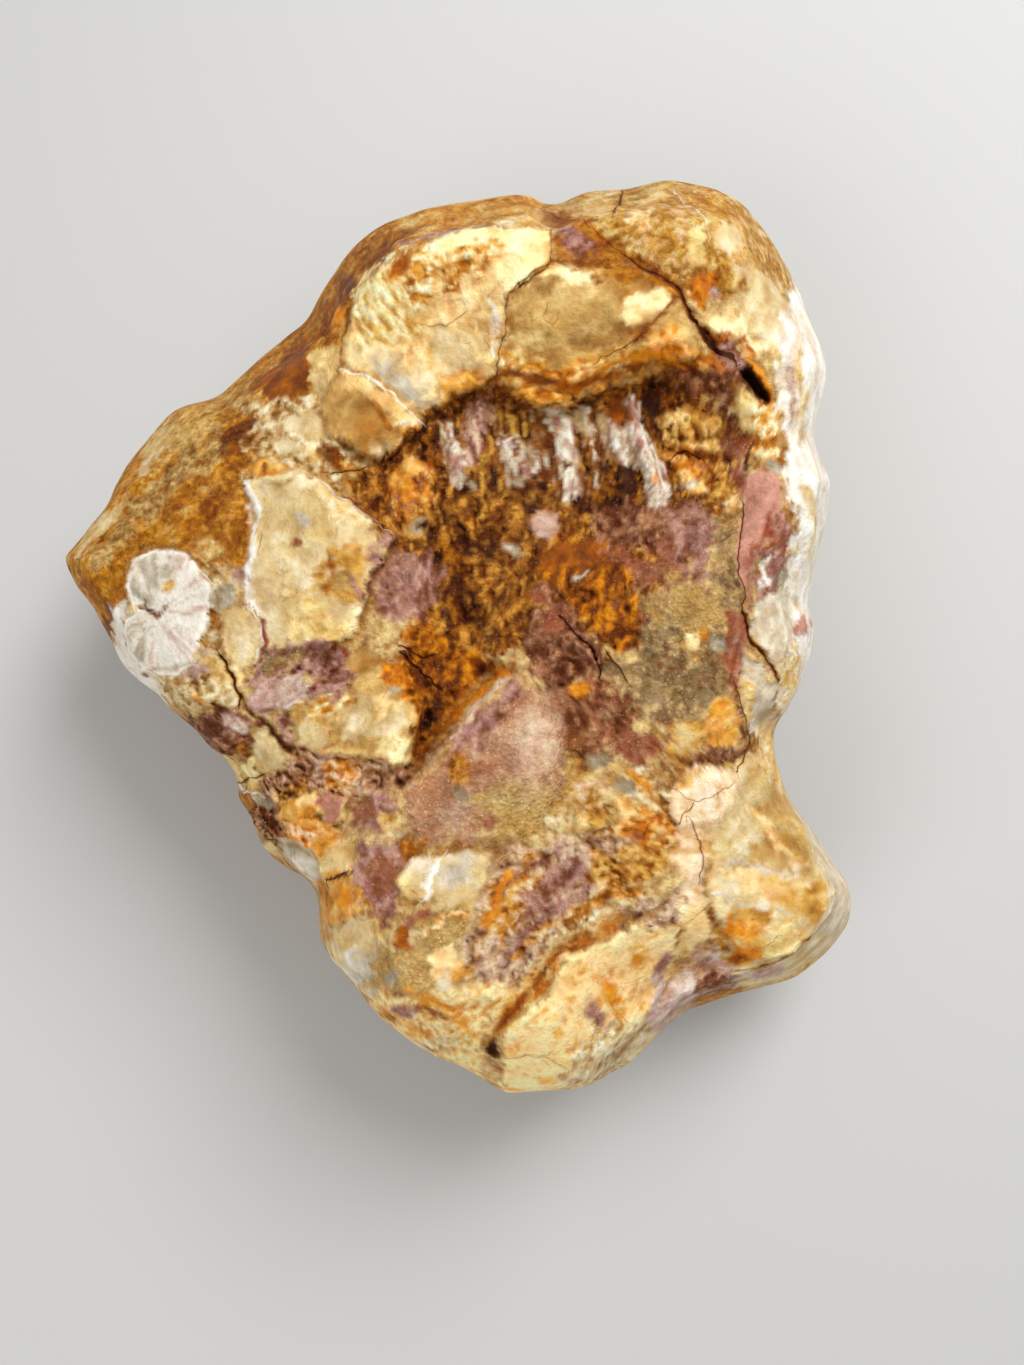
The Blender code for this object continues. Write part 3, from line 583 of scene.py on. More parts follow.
# Finishes: dark, middle and light tone, pattern, its size in picture points and its turn, then
# wax, grain and crystal from 0 to 1, and how rough it is in millimetres
FINISHES = {
    "base": ("umber", "tan", "cream", "grain", 26, 30, 0.2, 0.6, 0.0, 0.5),
    "rind": ("umber", "tawny", "straw", "grain", 18, 35, 0.1, 1.0, 0.0, 0.35),
    "rind_gold": ("umber", "honey", "straw", "grain", 16, 35, 0.3, 0.7, 0.0, 0.35),
    "rind_pale": ("honey", "straw", "bone", "grain", 14, 35, 0.4, 0.5, 0.0, 0.25),
    "rind_olive": ("umber", "sage", "straw", "grain", 8, 35, 0.1, 1.0, 0.0, 0.25),
    "rind_dark": ("bark", "sienna", "ochre", "grain", 12, 35, 0.2, 0.9, 0.0, 0.45),
    "rind_orange": ("sienna", "ochre", "gold", "grain", 16, 35, 0.2, 0.8, 0.0, 0.3),
    "block_rind": ("umber", "honey", "cream", "fleck", 8, 35, 0.3, 0.8, 0.0, 0.6),
    "tan_grain": ("umber", "honey", "peach", "grain", 12, 35, 0.3, 0.7, 0.0, 0.35),
    "fill_brown": ("bark", "sienna", "ochre", "grain", 10, 50, 0.3, 0.7, 0.0, 0.35),
    "rind_top": ("ochre", "gold", "straw", "grain", 16, 10, 0.3, 0.7, 0.0, 0.3),
    "dusky_rind": ("sienna", "plum", "mauve", "grain", 12, 0, 0.1, 0.7, 0.0, 0.3),
    "glow": ("bark", "sienna", "orange", "cloud", 16, 0, 0.5, 0.3, 0.0, 0.2),
    "cream_wax": ("sage", "khaki", "bone", "cloud", 24, 20, 0.8, 0.05, 0.0, 0.12),
    "straw_edge": ("sage", "straw", "bone", "cloud", 20, 45, 0.8, 0.05, 0.0, 0.05),
    "khaki_wax": ("olive", "khaki", "bone", "cloud", 22, 60, 0.8, 0.05, 0.0, 0.12),
    "bright_wax": ("honey", "butter", "ivory", "cloud", 18, 40, 0.7, 0.1, 0.0, 0.2),
    "streaky_wax": ("honey", "cream", "ivory", "streak", 4, -52, 0.6, 0.2, 0.0, 0.3),
    "gold_fleck": ("ochre", "gold", "ivory", "fleck", 7, 20, 0.5, 0.4, 0.0, 0.4),
    "tan_wax": ("umber", "olive", "cream", "cloud", 14, 40, 0.8, 0.1, 0.0, 0.2),
    "lump_wax": ("umber", "sage", "straw", "cloud", 16, 30, 0.9, 0.1, 0.0, 0.25),
    "flake_pale": ("sage", "khaki", "pearl", "cloud", 26, -40, 0.8, 0.1, 0.0, 0.1),
    "sage_wax": ("olive", "sage", "cream", "cloud", 18, 60, 0.8, 0.1, 0.0, 0.15),
    "flake_wax": ("umber", "olive", "straw", "cloud", 30, 45, 0.85, 0.05, 0.0, 0.06),
    "olive_glass": ("umber", "honey", "khaki", "cloud", 12, 20, 0.9, 0.1, 0.0, 0.25),
    "amber_chips": ("rust", "amber", "straw", "chips", 9, 0, 0.8, 0.2, 0.0, 0.7),
    "yellow_wax": ("honey", "cream", "ivory", "cloud", 14, 30, 0.7, 0.2, 0.0, 0.3),
    "rubble_cream": ("umber", "khaki", "bone", "chips", 11, 0, 0.5, 0.3, 0.0, 0.7),
    "rubble_gold": ("sienna", "honey", "straw", "chips", 9, 0, 0.5, 0.4, 0.0, 1.0),
    "rubble_dusk": ("bark", "rose", "shell", "chips", 9, 0, 0.3, 0.5, 0.0, 1.1),
    "rubble_orange": ("redstone", "amber", "cream", "chips", 9, 0, 0.5, 0.4, 0.0, 1.0),
    "white_crust": ("lilac", "pearl", "pearl", "rays", 14, 0, 0.5, 0.1, 0.0, 0.1),
    "white_wax": ("shell", "pearl", "chalk", "cloud", 16, 80, 0.7, 0.05, 0.0, 0.25),
    "knob_wax": ("tan", "peach", "pearl", "cloud", 7, 20, 0.8, 0.1, 0.0, 0.2),
    "lilac_spot": ("mauve", "lilac", "ash", "sugar", 8, 0, 0.4, 0.3, 0.2, 0.1),
    "pale_wax": ("sage", "ash", "bone", "cloud", 14, 60, 0.8, 0.05, 0.0, 0.1),
    "valley_brown": ("bark", "redstone", "tan", "grain", 14, 60, 0.3, 0.7, 0.3, 0.4),
    "orange_chunks": ("rust", "amber", "peach", "chips", 9, 0, 0.5, 0.4, 0.0, 0.9),
    "ash_wax": ("slate", "ash", "pearl", "cloud", 14, 60, 0.7, 0.1, 0.0, 0.1),
    "ash_rays": ("slate", "ash", "pearl", "rays", 14, 60, 0.7, 0.1, 0.0, 0.1),
    "slate_wax": ("moss", "slate", "ash", "cloud", 10, 0, 0.7, 0.2, 0.0, 0.2),
    "lilac_grain": ("mauve", "lilac", "pearl", "sugar", 12, 30, 0.4, 0.5, 0.1, 0.35),
    "dusk_grain": ("plum", "mauve", "heather", "fleck", 9, 60, 0.3, 0.5, 0.2, 0.35),
    "plum_grain": ("bark", "plum", "rose", "fleck", 9, 60, 0.3, 0.7, 0.2, 0.4),
    "dusk_brown": ("bark", "mauve", "heather", "fleck", 9, 60, 0.3, 0.7, 0.2, 0.5),
    "pink_grain": ("plum", "mauve", "heather", "fleck", 11, 60, 0.3, 0.5, 0.3, 0.3),
    "rose_edge": ("rose", "shell", "peach", "sugar", 10, 60, 0.4, 0.3, 0.5, 0.1),
    "pink_drusy": ("redstone", "rose", "shell", "sugar", 26, 60, 0.4, 0.5, 1.0, 0.12),
    "khaki_drusy": ("olive", "sage", "khaki", "sugar", 20, 60, 0.4, 0.5, 1.0, 0.15),
    "olive_drusy": ("plum", "moss", "tan", "grain", 22, 60, 0.4, 0.6, 0.8, 0.3),
    "red_drusy": ("red", "redstone", "rose", "sugar", 16, 60, 0.3, 0.6, 0.6, 0.3),
    "moss_spot": ("moss", "moss", "slate", "cloud", 8, 0, 0.6, 0.3, 0.3, 0.1),
    "porous": ("bark", "brown", "gold", "fleck", 7, 78, 0.3, 0.9, 0.1, 1.0),
    "porous_dark": ("shade_brown", "bark", "ochre", "fleck", 7, 78, 0.4, 0.9, 0.1, 1.1),
    "porous_orange": ("bark", "rust", "amber", "fleck", 8, 60, 0.5, 0.7, 0.1, 0.8),
    "porous_mauve": ("bark", "plum", "rose", "fleck", 8, 70, 0.3, 0.8, 0.2, 0.6),
    "fibre": ("shade_brown", "brown", "honey", "streak", 3, -80, 0.4, 0.6, 0.1, 0.9),
    "fibre_pale": ("bark", "brown", "ash", "streak", 3, -82, 0.4, 0.4, 0.1, 0.6),
    "rib_white": ("mauve", "ash", "pearl", "streak", 3.2, -76, 0.4, 0.3, 0.1, 0.3),
    "rib_pink": ("plum", "heather", "shell", "streak", 3.5, -70, 0.4, 0.3, 0.1, 0.3),
    "orange_face": ("ochre", "gold", "straw", "cloud", 10, 20, 0.6, 0.2, 0.0, 0.3),
    "amber_gloss": ("rust", "orange", "amber", "fleck", 7, 60, 1.0, 0.2, 0.0, 0.6),
    "brick_wax": ("redstone", "brick", "brick", "cloud", 22, 70, 0.7, 0.2, 0.0, 0.15),
    "brick_dark": ("red", "redstone", "brick", "streak", 8, 75, 0.5, 0.4, 0.0, 0.3),
    "band_rough": ("plum", "shell", "peach", "grain", 11, 38, 0.3, 0.6, 0.2, 0.9),
    "band_orange": ("rust", "gold", "peach", "fleck", 10, 38, 0.3, 0.6, 0.1, 0.9),
    "groove_gold": ("orange", "gold", "cream", "grain", 8, 40, 0.3, 0.5, 0.0, 0.4),
    "groove": ("orange", "straw", "butter", "grain", 10, 40, 0.3, 0.6, 0.0, 0.4),
    "lobe_gold": ("gold", "butter", "butter", "grain", 16, 60, 0.4, 0.15, 0.0, 0.15),
    "lobe_khaki": ("sage", "khaki", "bone", "cloud", 20, 60, 0.9, 0.05, 0.0, 0.15),
    "lobe_tan": ("olive", "sage", "khaki", "cloud", 18, 30, 0.9, 0.05, 0.0, 0.2),
    "lobe_amber": ("orange", "amber", "straw", "cloud", 12, 60, 0.6, 0.2, 0.0, 0.2),
    "streak_band": ("gold", "butter", "butter", "streak", 4, 32, 0.5, 0.4, 0.1, 0.6),
    "pit_gloss": ("bark", "rust", "amber", "fleck", 9, 60, 0.9, 0.6, 0.0, 0.9),
    "lilac_band": ("mauve", "lilac", "pearl", "sugar", 14, 40, 0.3, 0.4, 0.2, 0.35),
    # holes are painted shade, the darkest brown all over
    "hole": ("shade_brown", "shade_brown", "shade_brown", "cloud", 8, 0, 0.3, 0.1, 0.0, 0.2),
    "bark": ("shade_brown", "bark", "brown", "grain", 8, 0, 0.5, 0.6, 0.0, 0.5),
    "grain_white": ("ash", "ash", "pearl", "cloud", 8, 0, 0.5, 0.2, 0.0, 0.1),
    "amber": ("orange", "amber", "gold", "cloud", 8, 0, 0.6, 0.2, 0.0, 0.2),
    "orange": ("rust", "orange", "amber", "cloud", 8, 0, 0.6, 0.2, 0.0, 0.2),
    "rust": ("bark", "rust", "orange", "grain", 8, 0, 0.3, 0.5, 0.0, 0.3),
    "red": ("red", "red", "redstone", "grain", 8, 0, 0.4, 0.4, 0.1, 0.2),
}


# One piece of paint: its finish, how soft its edge is, how ragged, how deep (u, v) is in it, and the
# corners of its box

def area(finish, edge, *outline):
    corners = np.array(outline, float)
    ragged = 1.0 + edge

    def depth(u, v):
        return inside(outline, u, v)

    return finish, edge, ragged, depth, corners.min(axis=0), corners.max(axis=0)


def spot(finish, edge, middle_u, middle_v, radius_u, radius_v, turn=0.0):
    middle, radii = np.array((middle_u, middle_v), float), (radius_u, radius_v)
    reach = max(radii)
    ragged = 1.0 + 0.2 * min(radii)

    def depth(u, v):
        return (1.0 - np.hypot(*across_ellipse(u, v, middle, radii, turn))) * min(radii)

    return finish, edge, ragged, depth, middle - reach, middle + reach


def stroke(finish, edge, half, *line):
    corners = np.array(line, float)

    def depth(u, v):
        far, way = beside(line, u, v)
        taper = np.sqrt(np.clip(4.0 * way * (1.0 - way), 0.0, 1.0)) * 0.8 + 0.2
        return half * taper - np.abs(far)

    return finish, edge, 0.7 * half, depth, corners.min(axis=0) - half, corners.max(axis=0) + half


# The colours of the upper face, painted one over the other
PAINT = [
    # rind along the upper left
    area("rind", 8, (40, 560), (52, 530), (100, 470), (120, 440), (185, 375), (241, 340), (303, 286),
         (345, 225), (384, 190), (453, 170), (560, 165), (552, 196), (505, 204), (452, 214), (415, 232),
         (385, 258), (362, 268), (352, 300), (346, 345), (335, 352), (312, 392), (268, 416), (262, 450),
         (248, 470), (257, 505), (254, 545), (240, 570), (222, 575), (205, 560), (178, 545), (150, 545),
         (135, 560), (125, 590), (122, 612), (112, 660), (88, 640), (55, 590)),
    area("rind_gold", 8, (165, 425), (190, 400), (225, 385), (250, 360), (270, 372), (250, 405), (222, 430),
         (190, 445), (170, 450)),
    area("rind_pale", 5, (60, 550), (72, 528), (98, 504), (120, 500), (124, 510), (104, 526), (80, 545)),
    area("rind_pale", 5, (136, 462), (137, 445), (150, 428), (172, 412), (178, 424), (164, 442),
         (150, 464)),
    stroke("rind_olive", 10, 15, (232, 428), (200, 456), (155, 492), (112, 540)),
    stroke("rind_olive", 8, 10, (112, 540), (98, 565)),
    stroke("rind_orange", 8, 10, (163, 520), (200, 482), (252, 452)),
    area("rind_dark", 8, (222, 432), (236, 415), (262, 418), (262, 436), (246, 450), (228, 448)),
    area("rind_orange", 9, (172, 520), (205, 490), (250, 478), (256, 505), (250, 545), (225, 562),
         (195, 545), (178, 535)),
    spot("rind_dark", 10, 216, 505, 14, 10),
    spot("rind_pale", 8, 212, 548, 14, 9),
    area("rind_orange", 7, (58, 566), (75, 570), (100, 590), (125, 592), (118, 606), (90, 600), (66, 588)),
    area("dusky_rind", 6, (90, 605), (100, 598), (126, 600), (124, 622), (114, 650), (98, 632)),
    area("rind_orange", 12, (240, 385), (262, 345), (303, 292), (330, 260), (352, 260), (346, 300),
         (340, 345), (312, 388), (285, 400)),
    area("glow", 8, (262, 385), (266, 360), (284, 338), (305, 335), (314, 352), (312, 385), (292, 402),
         (268, 400)),
    spot("dusky_rind", 6, 302, 338, 9, 6, 30),
    area("rind_dark", 9, (322, 300), (340, 262), (355, 262), (350, 300), (344, 330), (328, 325)),
    area("dusky_rind", 8, (326, 285), (338, 258), (352, 262), (346, 285)),
    spot("amber", 7, 336, 310, 8, 16),
    area("yellow_wax", 6, (313, 352), (322, 338), (340, 340), (342, 362), (326, 388), (314, 392)),
    stroke("khaki_wax", 4, 6, (318, 356), (322, 376), (318, 388)),
    area("rind_orange", 10, (330, 262), (352, 232), (392, 202), (450, 188), (540, 182), (530, 196),
         (470, 202), (420, 218), (386, 246), (360, 262)),
    area("rind_dark", 8, (357, 256), (362, 240), (382, 232), (396, 238), (390, 256), (372, 262)),
    stroke("dusk_grain", 6, 8, (398, 238), (430, 222), (470, 210)),
    stroke("lilac_grain", 6, 6, (440, 230), (470, 226), (500, 230)),
    area("rind_top", 8, (396, 204), (450, 186), (540, 182), (546, 198), (500, 206), (450, 213), (410, 224)),
    area("rind_orange", 8, (548, 192), (580, 200), (612, 232), (640, 262), (600, 262), (560, 262),
         (548, 230)),
    area("rind_pale", 8, (500, 205), (545, 200), (552, 240), (545, 262), (520, 270), (505, 250)),
    area("dusk_grain", 12, (556, 215), (590, 225), (600, 255), (566, 258)),

    # upper right block
    area("block_rind", 8, (552, 190), (600, 165), (700, 160), (760, 180), (800, 260), (790, 300),
         (742, 290), (700, 290), (660, 268), (620, 240), (588, 216)),
    area("rind_pale", 8, (560, 196), (612, 178), (612, 212), (590, 212)),
    area("rind_gold", 10, (640, 176), (668, 172), (680, 188), (668, 200), (640, 196)),
    area("tan_grain", 12, (622, 192), (668, 190), (690, 215), (700, 262), (672, 266), (640, 248),
         (618, 225)),
    area("yellow_wax", 6, (682, 232), (698, 220), (710, 234), (704, 256), (688, 262)),
    area("rind_pale", 6, (644, 176), (662, 174), (668, 186), (654, 194), (642, 188)),
    area("rind_pale", 7, (630, 208), (648, 204), (656, 216), (644, 226), (630, 220)),
    area("rind_gold", 10, (700, 195), (745, 200), (782, 250), (772, 270), (730, 262), (708, 232)),
    area("khaki_wax", 9, (714, 215), (740, 215), (748, 236), (730, 250), (714, 240)),
    area("rind", 10, (690, 178), (716, 182), (742, 205), (730, 214), (702, 205)),
    area("tan_grain", 12, (742, 190), (764, 215), (786, 262), (772, 272), (752, 250)),
    area("khaki_wax", 10, (735, 262), (775, 262), (792, 300), (788, 335), (764, 345), (740, 320)),
    area("bright_wax", 6, (706, 302), (722, 303), (745, 318), (758, 342), (742, 350), (715, 325)),
    area("rind_orange", 7, (682, 276), (700, 266), (726, 266), (722, 292), (706, 300), (690, 294)),
    area("amber_gloss", 6, (684, 272), (700, 264), (720, 268), (716, 290), (700, 298), (688, 288)),
    spot("lilac_grain", 4, 716, 288, 4, 7),

    # bright plate and tan plate
    area("bright_wax", 4, *BRIGHT_PLATE),
    area("streaky_wax", 8, (352, 290), (366, 270), (398, 262), (412, 300), (424, 338), (398, 340),
         (360, 352)),
    area("gold_fleck", 9, (388, 268), (395, 240), (420, 232), (446, 250), (440, 275), (428, 300),
         (412, 312), (404, 290)),
    area("gold_fleck", 12, (440, 250), (480, 236), (500, 240), (480, 262), (456, 280), (440, 272)),
    area("glow", 5, (394, 262), (402, 246), (414, 244), (410, 262), (400, 272)),
    area("khaki_wax", 8, (424, 326), (462, 318), (474, 330), (478, 362), (455, 366), (430, 354)),
    area("khaki_wax", 14, (356, 352), (390, 348), (428, 356), (440, 376), (436, 396), (422, 412),
         (390, 388)),
    stroke("ash_wax", 6, 8, (380, 362), (402, 380), (420, 396)),
    stroke("khaki_wax", 5, 6, (476, 306), (486, 330), (478, 362)),
    stroke("white_wax", 5, 3.5, (492, 290), (497, 320), (492, 350)),
    area("orange_face", 5, (440, 372), (462, 365), (482, 366), (480, 384), (458, 396), (444, 398)),
    area("tan_wax", 5, *TAN_PLATE),
    area("sage_wax", 14, (530, 288), (580, 275), (620, 278), (628, 305), (600, 330), (550, 345),
         (525, 325)),
    area("bright_wax", 7, (530, 262), (560, 262), (600, 262), (590, 282), (560, 278), (535, 275)),
    area("rind_orange", 9, (560, 252), (600, 250), (645, 258), (680, 278), (690, 298), (672, 298),
         (640, 280), (605, 270), (570, 264)),
    area("bright_wax", 8, (622, 292), (650, 282), (668, 296), (648, 312), (628, 318)),
    stroke("glow", 5, 4, (676, 292), (660, 308), (640, 322), (632, 340)),
    area("sage_wax", 6, (652, 320), (680, 296), (706, 330), (712, 348), (694, 362), (664, 360), (650, 345)),
    area("olive_glass", 6, (500, 372), (515, 362), (552, 360), (600, 340), (640, 338), (652, 352),
         (630, 372), (590, 384), (560, 400), (530, 398), (505, 392)),
    area("gold_fleck", 7, (505, 352), (530, 358), (552, 352), (548, 366), (520, 372), (502, 368)),
    area("amber_chips", 5, (512, 374), (540, 362), (566, 366), (600, 350), (638, 344), (652, 352),
         (640, 368), (600, 380), (566, 398), (540, 398), (520, 392)),
    area("amber_chips", 5, (640, 338), (672, 318), (704, 344), (714, 364), (692, 374), (656, 370)),
    # Dark orange along the plates' lower edges over the hollow: partly orange stain and partly painted
    # shadow under their overhang
    stroke("glow", 6, 5, (486, 378), (510, 366), (540, 376), (580, 380), (620, 366), (650, 356)),
    stroke("amber", 5, 4, (592, 372), (620, 358), (648, 350)),
    stroke("rind_orange", 6, 6, (440, 404), (462, 392), (488, 376)),
    area("rind_orange", 8, (650, 350), (690, 350), (716, 366), (700, 380), (664, 372)),
    stroke("amber", 4, 4, (640, 345), (664, 352), (690, 366)),

    # the long crack and what fills it
    stroke("rind_orange", 6, 7, (552, 202), (590, 226), (624, 250), (660, 270)),
    stroke("fill_brown", 4, 3, (640, 262), (676, 284), (700, 318), (716, 340)),
    area("fill_brown", 4, (708, 326), (718, 330), (744, 352), (760, 370), (770, 392), (762, 400),
         (746, 392), (734, 382), (720, 362), (710, 344)),
    area("dusk_grain", 3, (716, 342), (728, 340), (744, 354), (748, 368), (738, 374), (726, 364)),
    area("bark", 6, (732, 365), (743, 356), (755, 362), (767, 377), (773, 395), (762, 402), (749, 395),
         (736, 384)),
    # the hole is painted shade
    area("hole", 4, (738, 367), (744, 360), (751, 364), (757, 372), (766, 380), (768, 394), (760, 396),
         (754, 388), (745, 386), (741, 377)),
    stroke("amber", 3, 3, (736, 342), (752, 356), (764, 376), (768, 394)),
    stroke("orange", 4, 4, (722, 330), (740, 338), (752, 350)),
    stroke("orange", 4, 6, (706, 348), (722, 374), (744, 398)),
    stroke("orange", 4, 4, (752, 396), (764, 404), (772, 396)),

    # thin flake and the cracked rubble round it
    area("rubble_cream", 8, (240, 400), (312, 390), (345, 440), (400, 440), (425, 420), (420, 455),
         (400, 480), (402, 520), (360, 498), (320, 480), (262, 462), (248, 440), (262, 415)),
    area("khaki_wax", 5, (286, 412), (318, 410), (332, 425), (322, 438), (292, 432)),
    area("cream_wax", 6, (275, 435), (310, 438), (318, 455), (295, 455), (276, 448)),
    area("bright_wax", 5, (300, 442), (322, 440), (322, 462), (308, 460)),
    area("rind_dark", 9, (322, 440), (345, 448), (352, 470), (330, 468)),
    area("olive_glass", 7, (340, 470), (372, 462), (400, 470), (404, 500), (384, 508), (355, 494)),
    area("gold_fleck", 7, (345, 455), (375, 458), (384, 470), (350, 474)),
    area("flake_wax", 3, *THIN_FLAKE),
    area("straw_edge", 4, (345, 364), (364, 370), (394, 391), (421, 417), (406, 424), (380, 402),
         (352, 384)),
    stroke("rust", 4, 3, (372, 398), (384, 410), (393, 425)),
    spot("khaki_wax", 8, 384, 442, 12, 9),
    area("amber", 4, (402, 420), (422, 416), (414, 434), (404, 430)),

    # cream plate
    area("orange_face", 5, (246, 478), (252, 458), (262, 452), (296, 462), (290, 472), (262, 476)),
    stroke("rust", 3, 3, (264, 458), (262, 470)),
    area("cream_wax", 3, *CREAM_PLATE),
    area("khaki_wax", 12, (300, 480), (356, 504), (390, 532), (368, 560), (340, 545), (318, 510)),
    spot("khaki_wax", 12, 285, 560, 22, 40),
    area("olive_glass", 14, (336, 548), (362, 545), (366, 590), (345, 605), (330, 585)),
    stroke("rust", 6, 3, (334, 552), (336, 572), (330, 592)),
    spot("tan_wax", 6, 344, 578, 9, 12),
    stroke("rind_pale", 9, 6, (310, 488), (340, 500), (378, 528)),
    area("white_wax", 4, (245, 480), (252, 478), (262, 505), (256, 520), (250, 500)),
    stroke("white_wax", 4, 4, (258, 522), (253, 548), (243, 572), (250, 596), (262, 606)),
    spot("red", 4, 301, 538, 5, 4),
    spot("grain_white", 3, 304, 514, 5, 8, 30),
    area("yellow_wax", 12, (290, 590), (330, 600), (352, 628), (330, 645), (300, 640)),

    # rosettes and the white crust
    area("rubble_cream", 8, (108, 640), (130, 600), (210, 560), (226, 652), (244, 695), (230, 712),
         (190, 700), (160, 705), (140, 690), (120, 665)),
    area("lilac_grain", 8, (196, 640), (214, 640), (222, 664), (200, 680), (180, 680)),
    area("white_crust", 3, (132, 600), (126, 580), (132, 562), (145, 550), (163, 546), (184, 551),
         (204, 565), (210, 590), (214, 610), (206, 640), (196, 662), (182, 672), (160, 672), (150, 640),
         (158, 612)),
    area("ash_rays", 7, (132, 596), (130, 575), (140, 556), (160, 552), (182, 556), (174, 570), (156, 582),
         (148, 602)),
    area("white_crust", 3, (156, 608), (138, 606), (126, 618), (121, 632), (124, 650), (134, 662),
         (152, 671), (176, 660), (176, 630)),
    spot("ash_rays", 8, 140, 638, 14, 26, 10),
    area("white_wax", 5, (104, 602), (124, 596), (120, 620), (122, 646), (134, 664), (156, 678), (160, 696),
         (144, 700), (126, 684), (106, 650)),
    spot("rind_pale", 6, 172, 580, 9, 7),
    spot("bark", 4, 161, 613, 3.5, 3),
    stroke("bark", 3, 1.8, (140, 594), (150, 606), (160, 612)),
    stroke("bark", 3, 1.6, (161, 612), (170, 600), (176, 598)),
    spot("slate_wax", 4, 225, 596, 15, 14),
    area("lilac_grain", 6, (226, 566), (240, 562), (244, 585), (232, 586)),
    area("rubble_cream", 6, (206, 562), (226, 566), (226, 580), (212, 584)),
    area("khaki_wax", 4, (224, 612), (238, 606), (252, 609), (264, 622), (266, 642), (258, 660), (238, 668),
         (228, 650)),
    stroke("red", 3, 3, (262, 612), (268, 628), (268, 644)),
    area("bright_wax", 6, (226, 655), (244, 668), (240, 690), (230, 676)),
    area("rubble_cream", 8, (158, 690), (190, 680), (228, 690), (244, 702), (226, 715), (180, 712)),
    area("rind_pale", 8, (205, 650), (224, 655), (240, 690), (222, 700), (204, 680)),
    spot("gold_fleck", 6, 206, 698, 10, 6),
    spot("plum_grain", 4, 140, 681, 5, 4),

    # purple-brown matter under the cream plate
    area("dusk_brown", 6, (256, 668), (262, 650), (290, 642), (330, 640), (349, 645), (352, 664),
         (338, 680), (310, 676), (262, 682), (246, 690)),
    area("olive_drusy", 10, (268, 655), (300, 645), (320, 652), (300, 668), (270, 672)),
    stroke("red", 4, 3, (340, 640), (350, 652), (349, 664)),
    area("lilac_grain", 6, (250, 690), (264, 678), (300, 672), (313, 688), (300, 705), (270, 712),
         (252, 704)),
    area("plum_grain", 7, (200, 712), (244, 705), (272, 716), (262, 740), (240, 752), (216, 758),
         (196, 745), (180, 728)),
    spot("lilac_grain", 6, 238, 722, 12, 10),
    spot("amber", 4, 245, 742, 3.5, 4),
    area("dusk_grain", 7, (272, 706), (310, 700), (318, 716), (300, 740), (284, 730)),

    # glossy lump
    area("lump_wax", 4, *GLOSSY_LUMP),
    area("khaki_wax", 10, (345, 700), (372, 690), (404, 700), (414, 726), (396, 738), (370, 730),
         (345, 735)),
    area("sage_wax", 6, (340, 665), (362, 648), (384, 652), (380, 672), (352, 682)),
    area("gold_fleck", 7, (318, 690), (345, 682), (352, 700), (338, 716), (316, 712)),
    area("khaki_wax", 6, (298, 724), (318, 720), (330, 738), (318, 752), (300, 744)),
    area("yellow_wax", 5, (376, 738), (396, 732), (412, 742), (410, 760), (392, 762), (378, 752)),
    area("amber_gloss", 6, (383, 664), (400, 652), (412, 662), (422, 695), (420, 732), (412, 728),
         (410, 700), (398, 690), (386, 684)),
    spot("grain_white", 3, 397, 690, 8, 4, 20),
    area("bright_wax", 9, (376, 694), (394, 692), (400, 706), (384, 710)),
    spot("rust", 3, 335, 739, 5, 2, 20),
    area("dusk_brown", 7, (308, 694), (316, 674), (345, 664), (356, 672), (350, 690), (330, 702)),

    # left steps
    area("khaki_wax", 4, (256, 724), (272, 722), (288, 740), (290, 768), (262, 770), (256, 748)),
    area("yellow_wax", 4, (221, 756), (240, 758), (258, 750), (262, 772), (262, 791), (236, 780)),
    stroke("bark", 4, 4, (271, 720), (284, 736), (298, 757)),
    area("rubble_dusk", 6, (262, 775), (290, 766), (300, 750), (340, 753), (400, 764), (416, 762),
         (414, 780), (392, 785), (370, 798), (345, 795), (318, 792), (280, 800), (262, 795)),
    area("lilac_grain", 5, (318, 752), (338, 750), (340, 765), (326, 780), (320, 768)),
    area("orange_chunks", 6, (322, 762), (352, 755), (364, 772), (346, 792), (330, 786)),
    area("rubble_gold", 6, (274, 788), (312, 782), (312, 796), (280, 798)),
    area("rubble_dusk", 6, (226, 786), (262, 795), (285, 815), (282, 838), (262, 836), (240, 820)),
    area("rind_orange", 6, (226, 786), (246, 792), (258, 810), (244, 822), (230, 806)),
    area("slate_wax", 5, (246, 789), (264, 796), (266, 806), (252, 806)),
    area("orange_face", 4, *GOLD_CHIP),
    spot("bright_wax", 5, 310, 800, 9, 6, 20),
    area("brick_wax", 4, *RUST_CHIP),
    area("orange_chunks", 4, *ORANGE_CHIP),
    stroke("orange_face", 5, 5, (286, 816), (310, 822), (340, 826)),
    spot("rind_dark", 6, 262, 843, 11, 9),
    spot("rind_pale", 6, 260, 856, 12, 6, -20),
    area("ash_wax", 4, *GREY_CHIP),
    area("cream_wax", 5, (318, 842), (345, 830), (360, 845), (356, 868), (336, 876), (320, 884)),
    area("orange_face", 5, (312, 838), (330, 826), (346, 832), (336, 846), (318, 852)),
    area("orange_face", 6, (312, 885), (330, 866), (357, 864), (369, 884), (368, 905), (352, 927),
         (325, 930), (310, 918)),
    spot("amber", 8, 342, 898, 12, 11, 20),
    stroke("hole", 4, 3, (328, 876), (345, 872), (360, 870)),

    # hollow
    area("porous", 8, *HOLLOW),
    area("porous_dark", 9, (420, 432), (440, 402), (470, 385), (495, 392), (480, 410), (450, 425),
         (432, 470), (420, 450)),
    area("fibre", 9, (440, 420), (500, 405), (560, 400), (640, 385), (664, 400), (665, 490), (640, 505),
         (600, 505), (560, 500), (500, 500), (465, 480)),
    area("porous_dark", 8, (575, 470), (640, 455), (648, 490), (620, 520), (570, 512)),
    area("porous_dark", 6, (640, 385), (680, 375), (712, 385), (700, 400), (664, 420), (650, 440),
         (640, 410)),
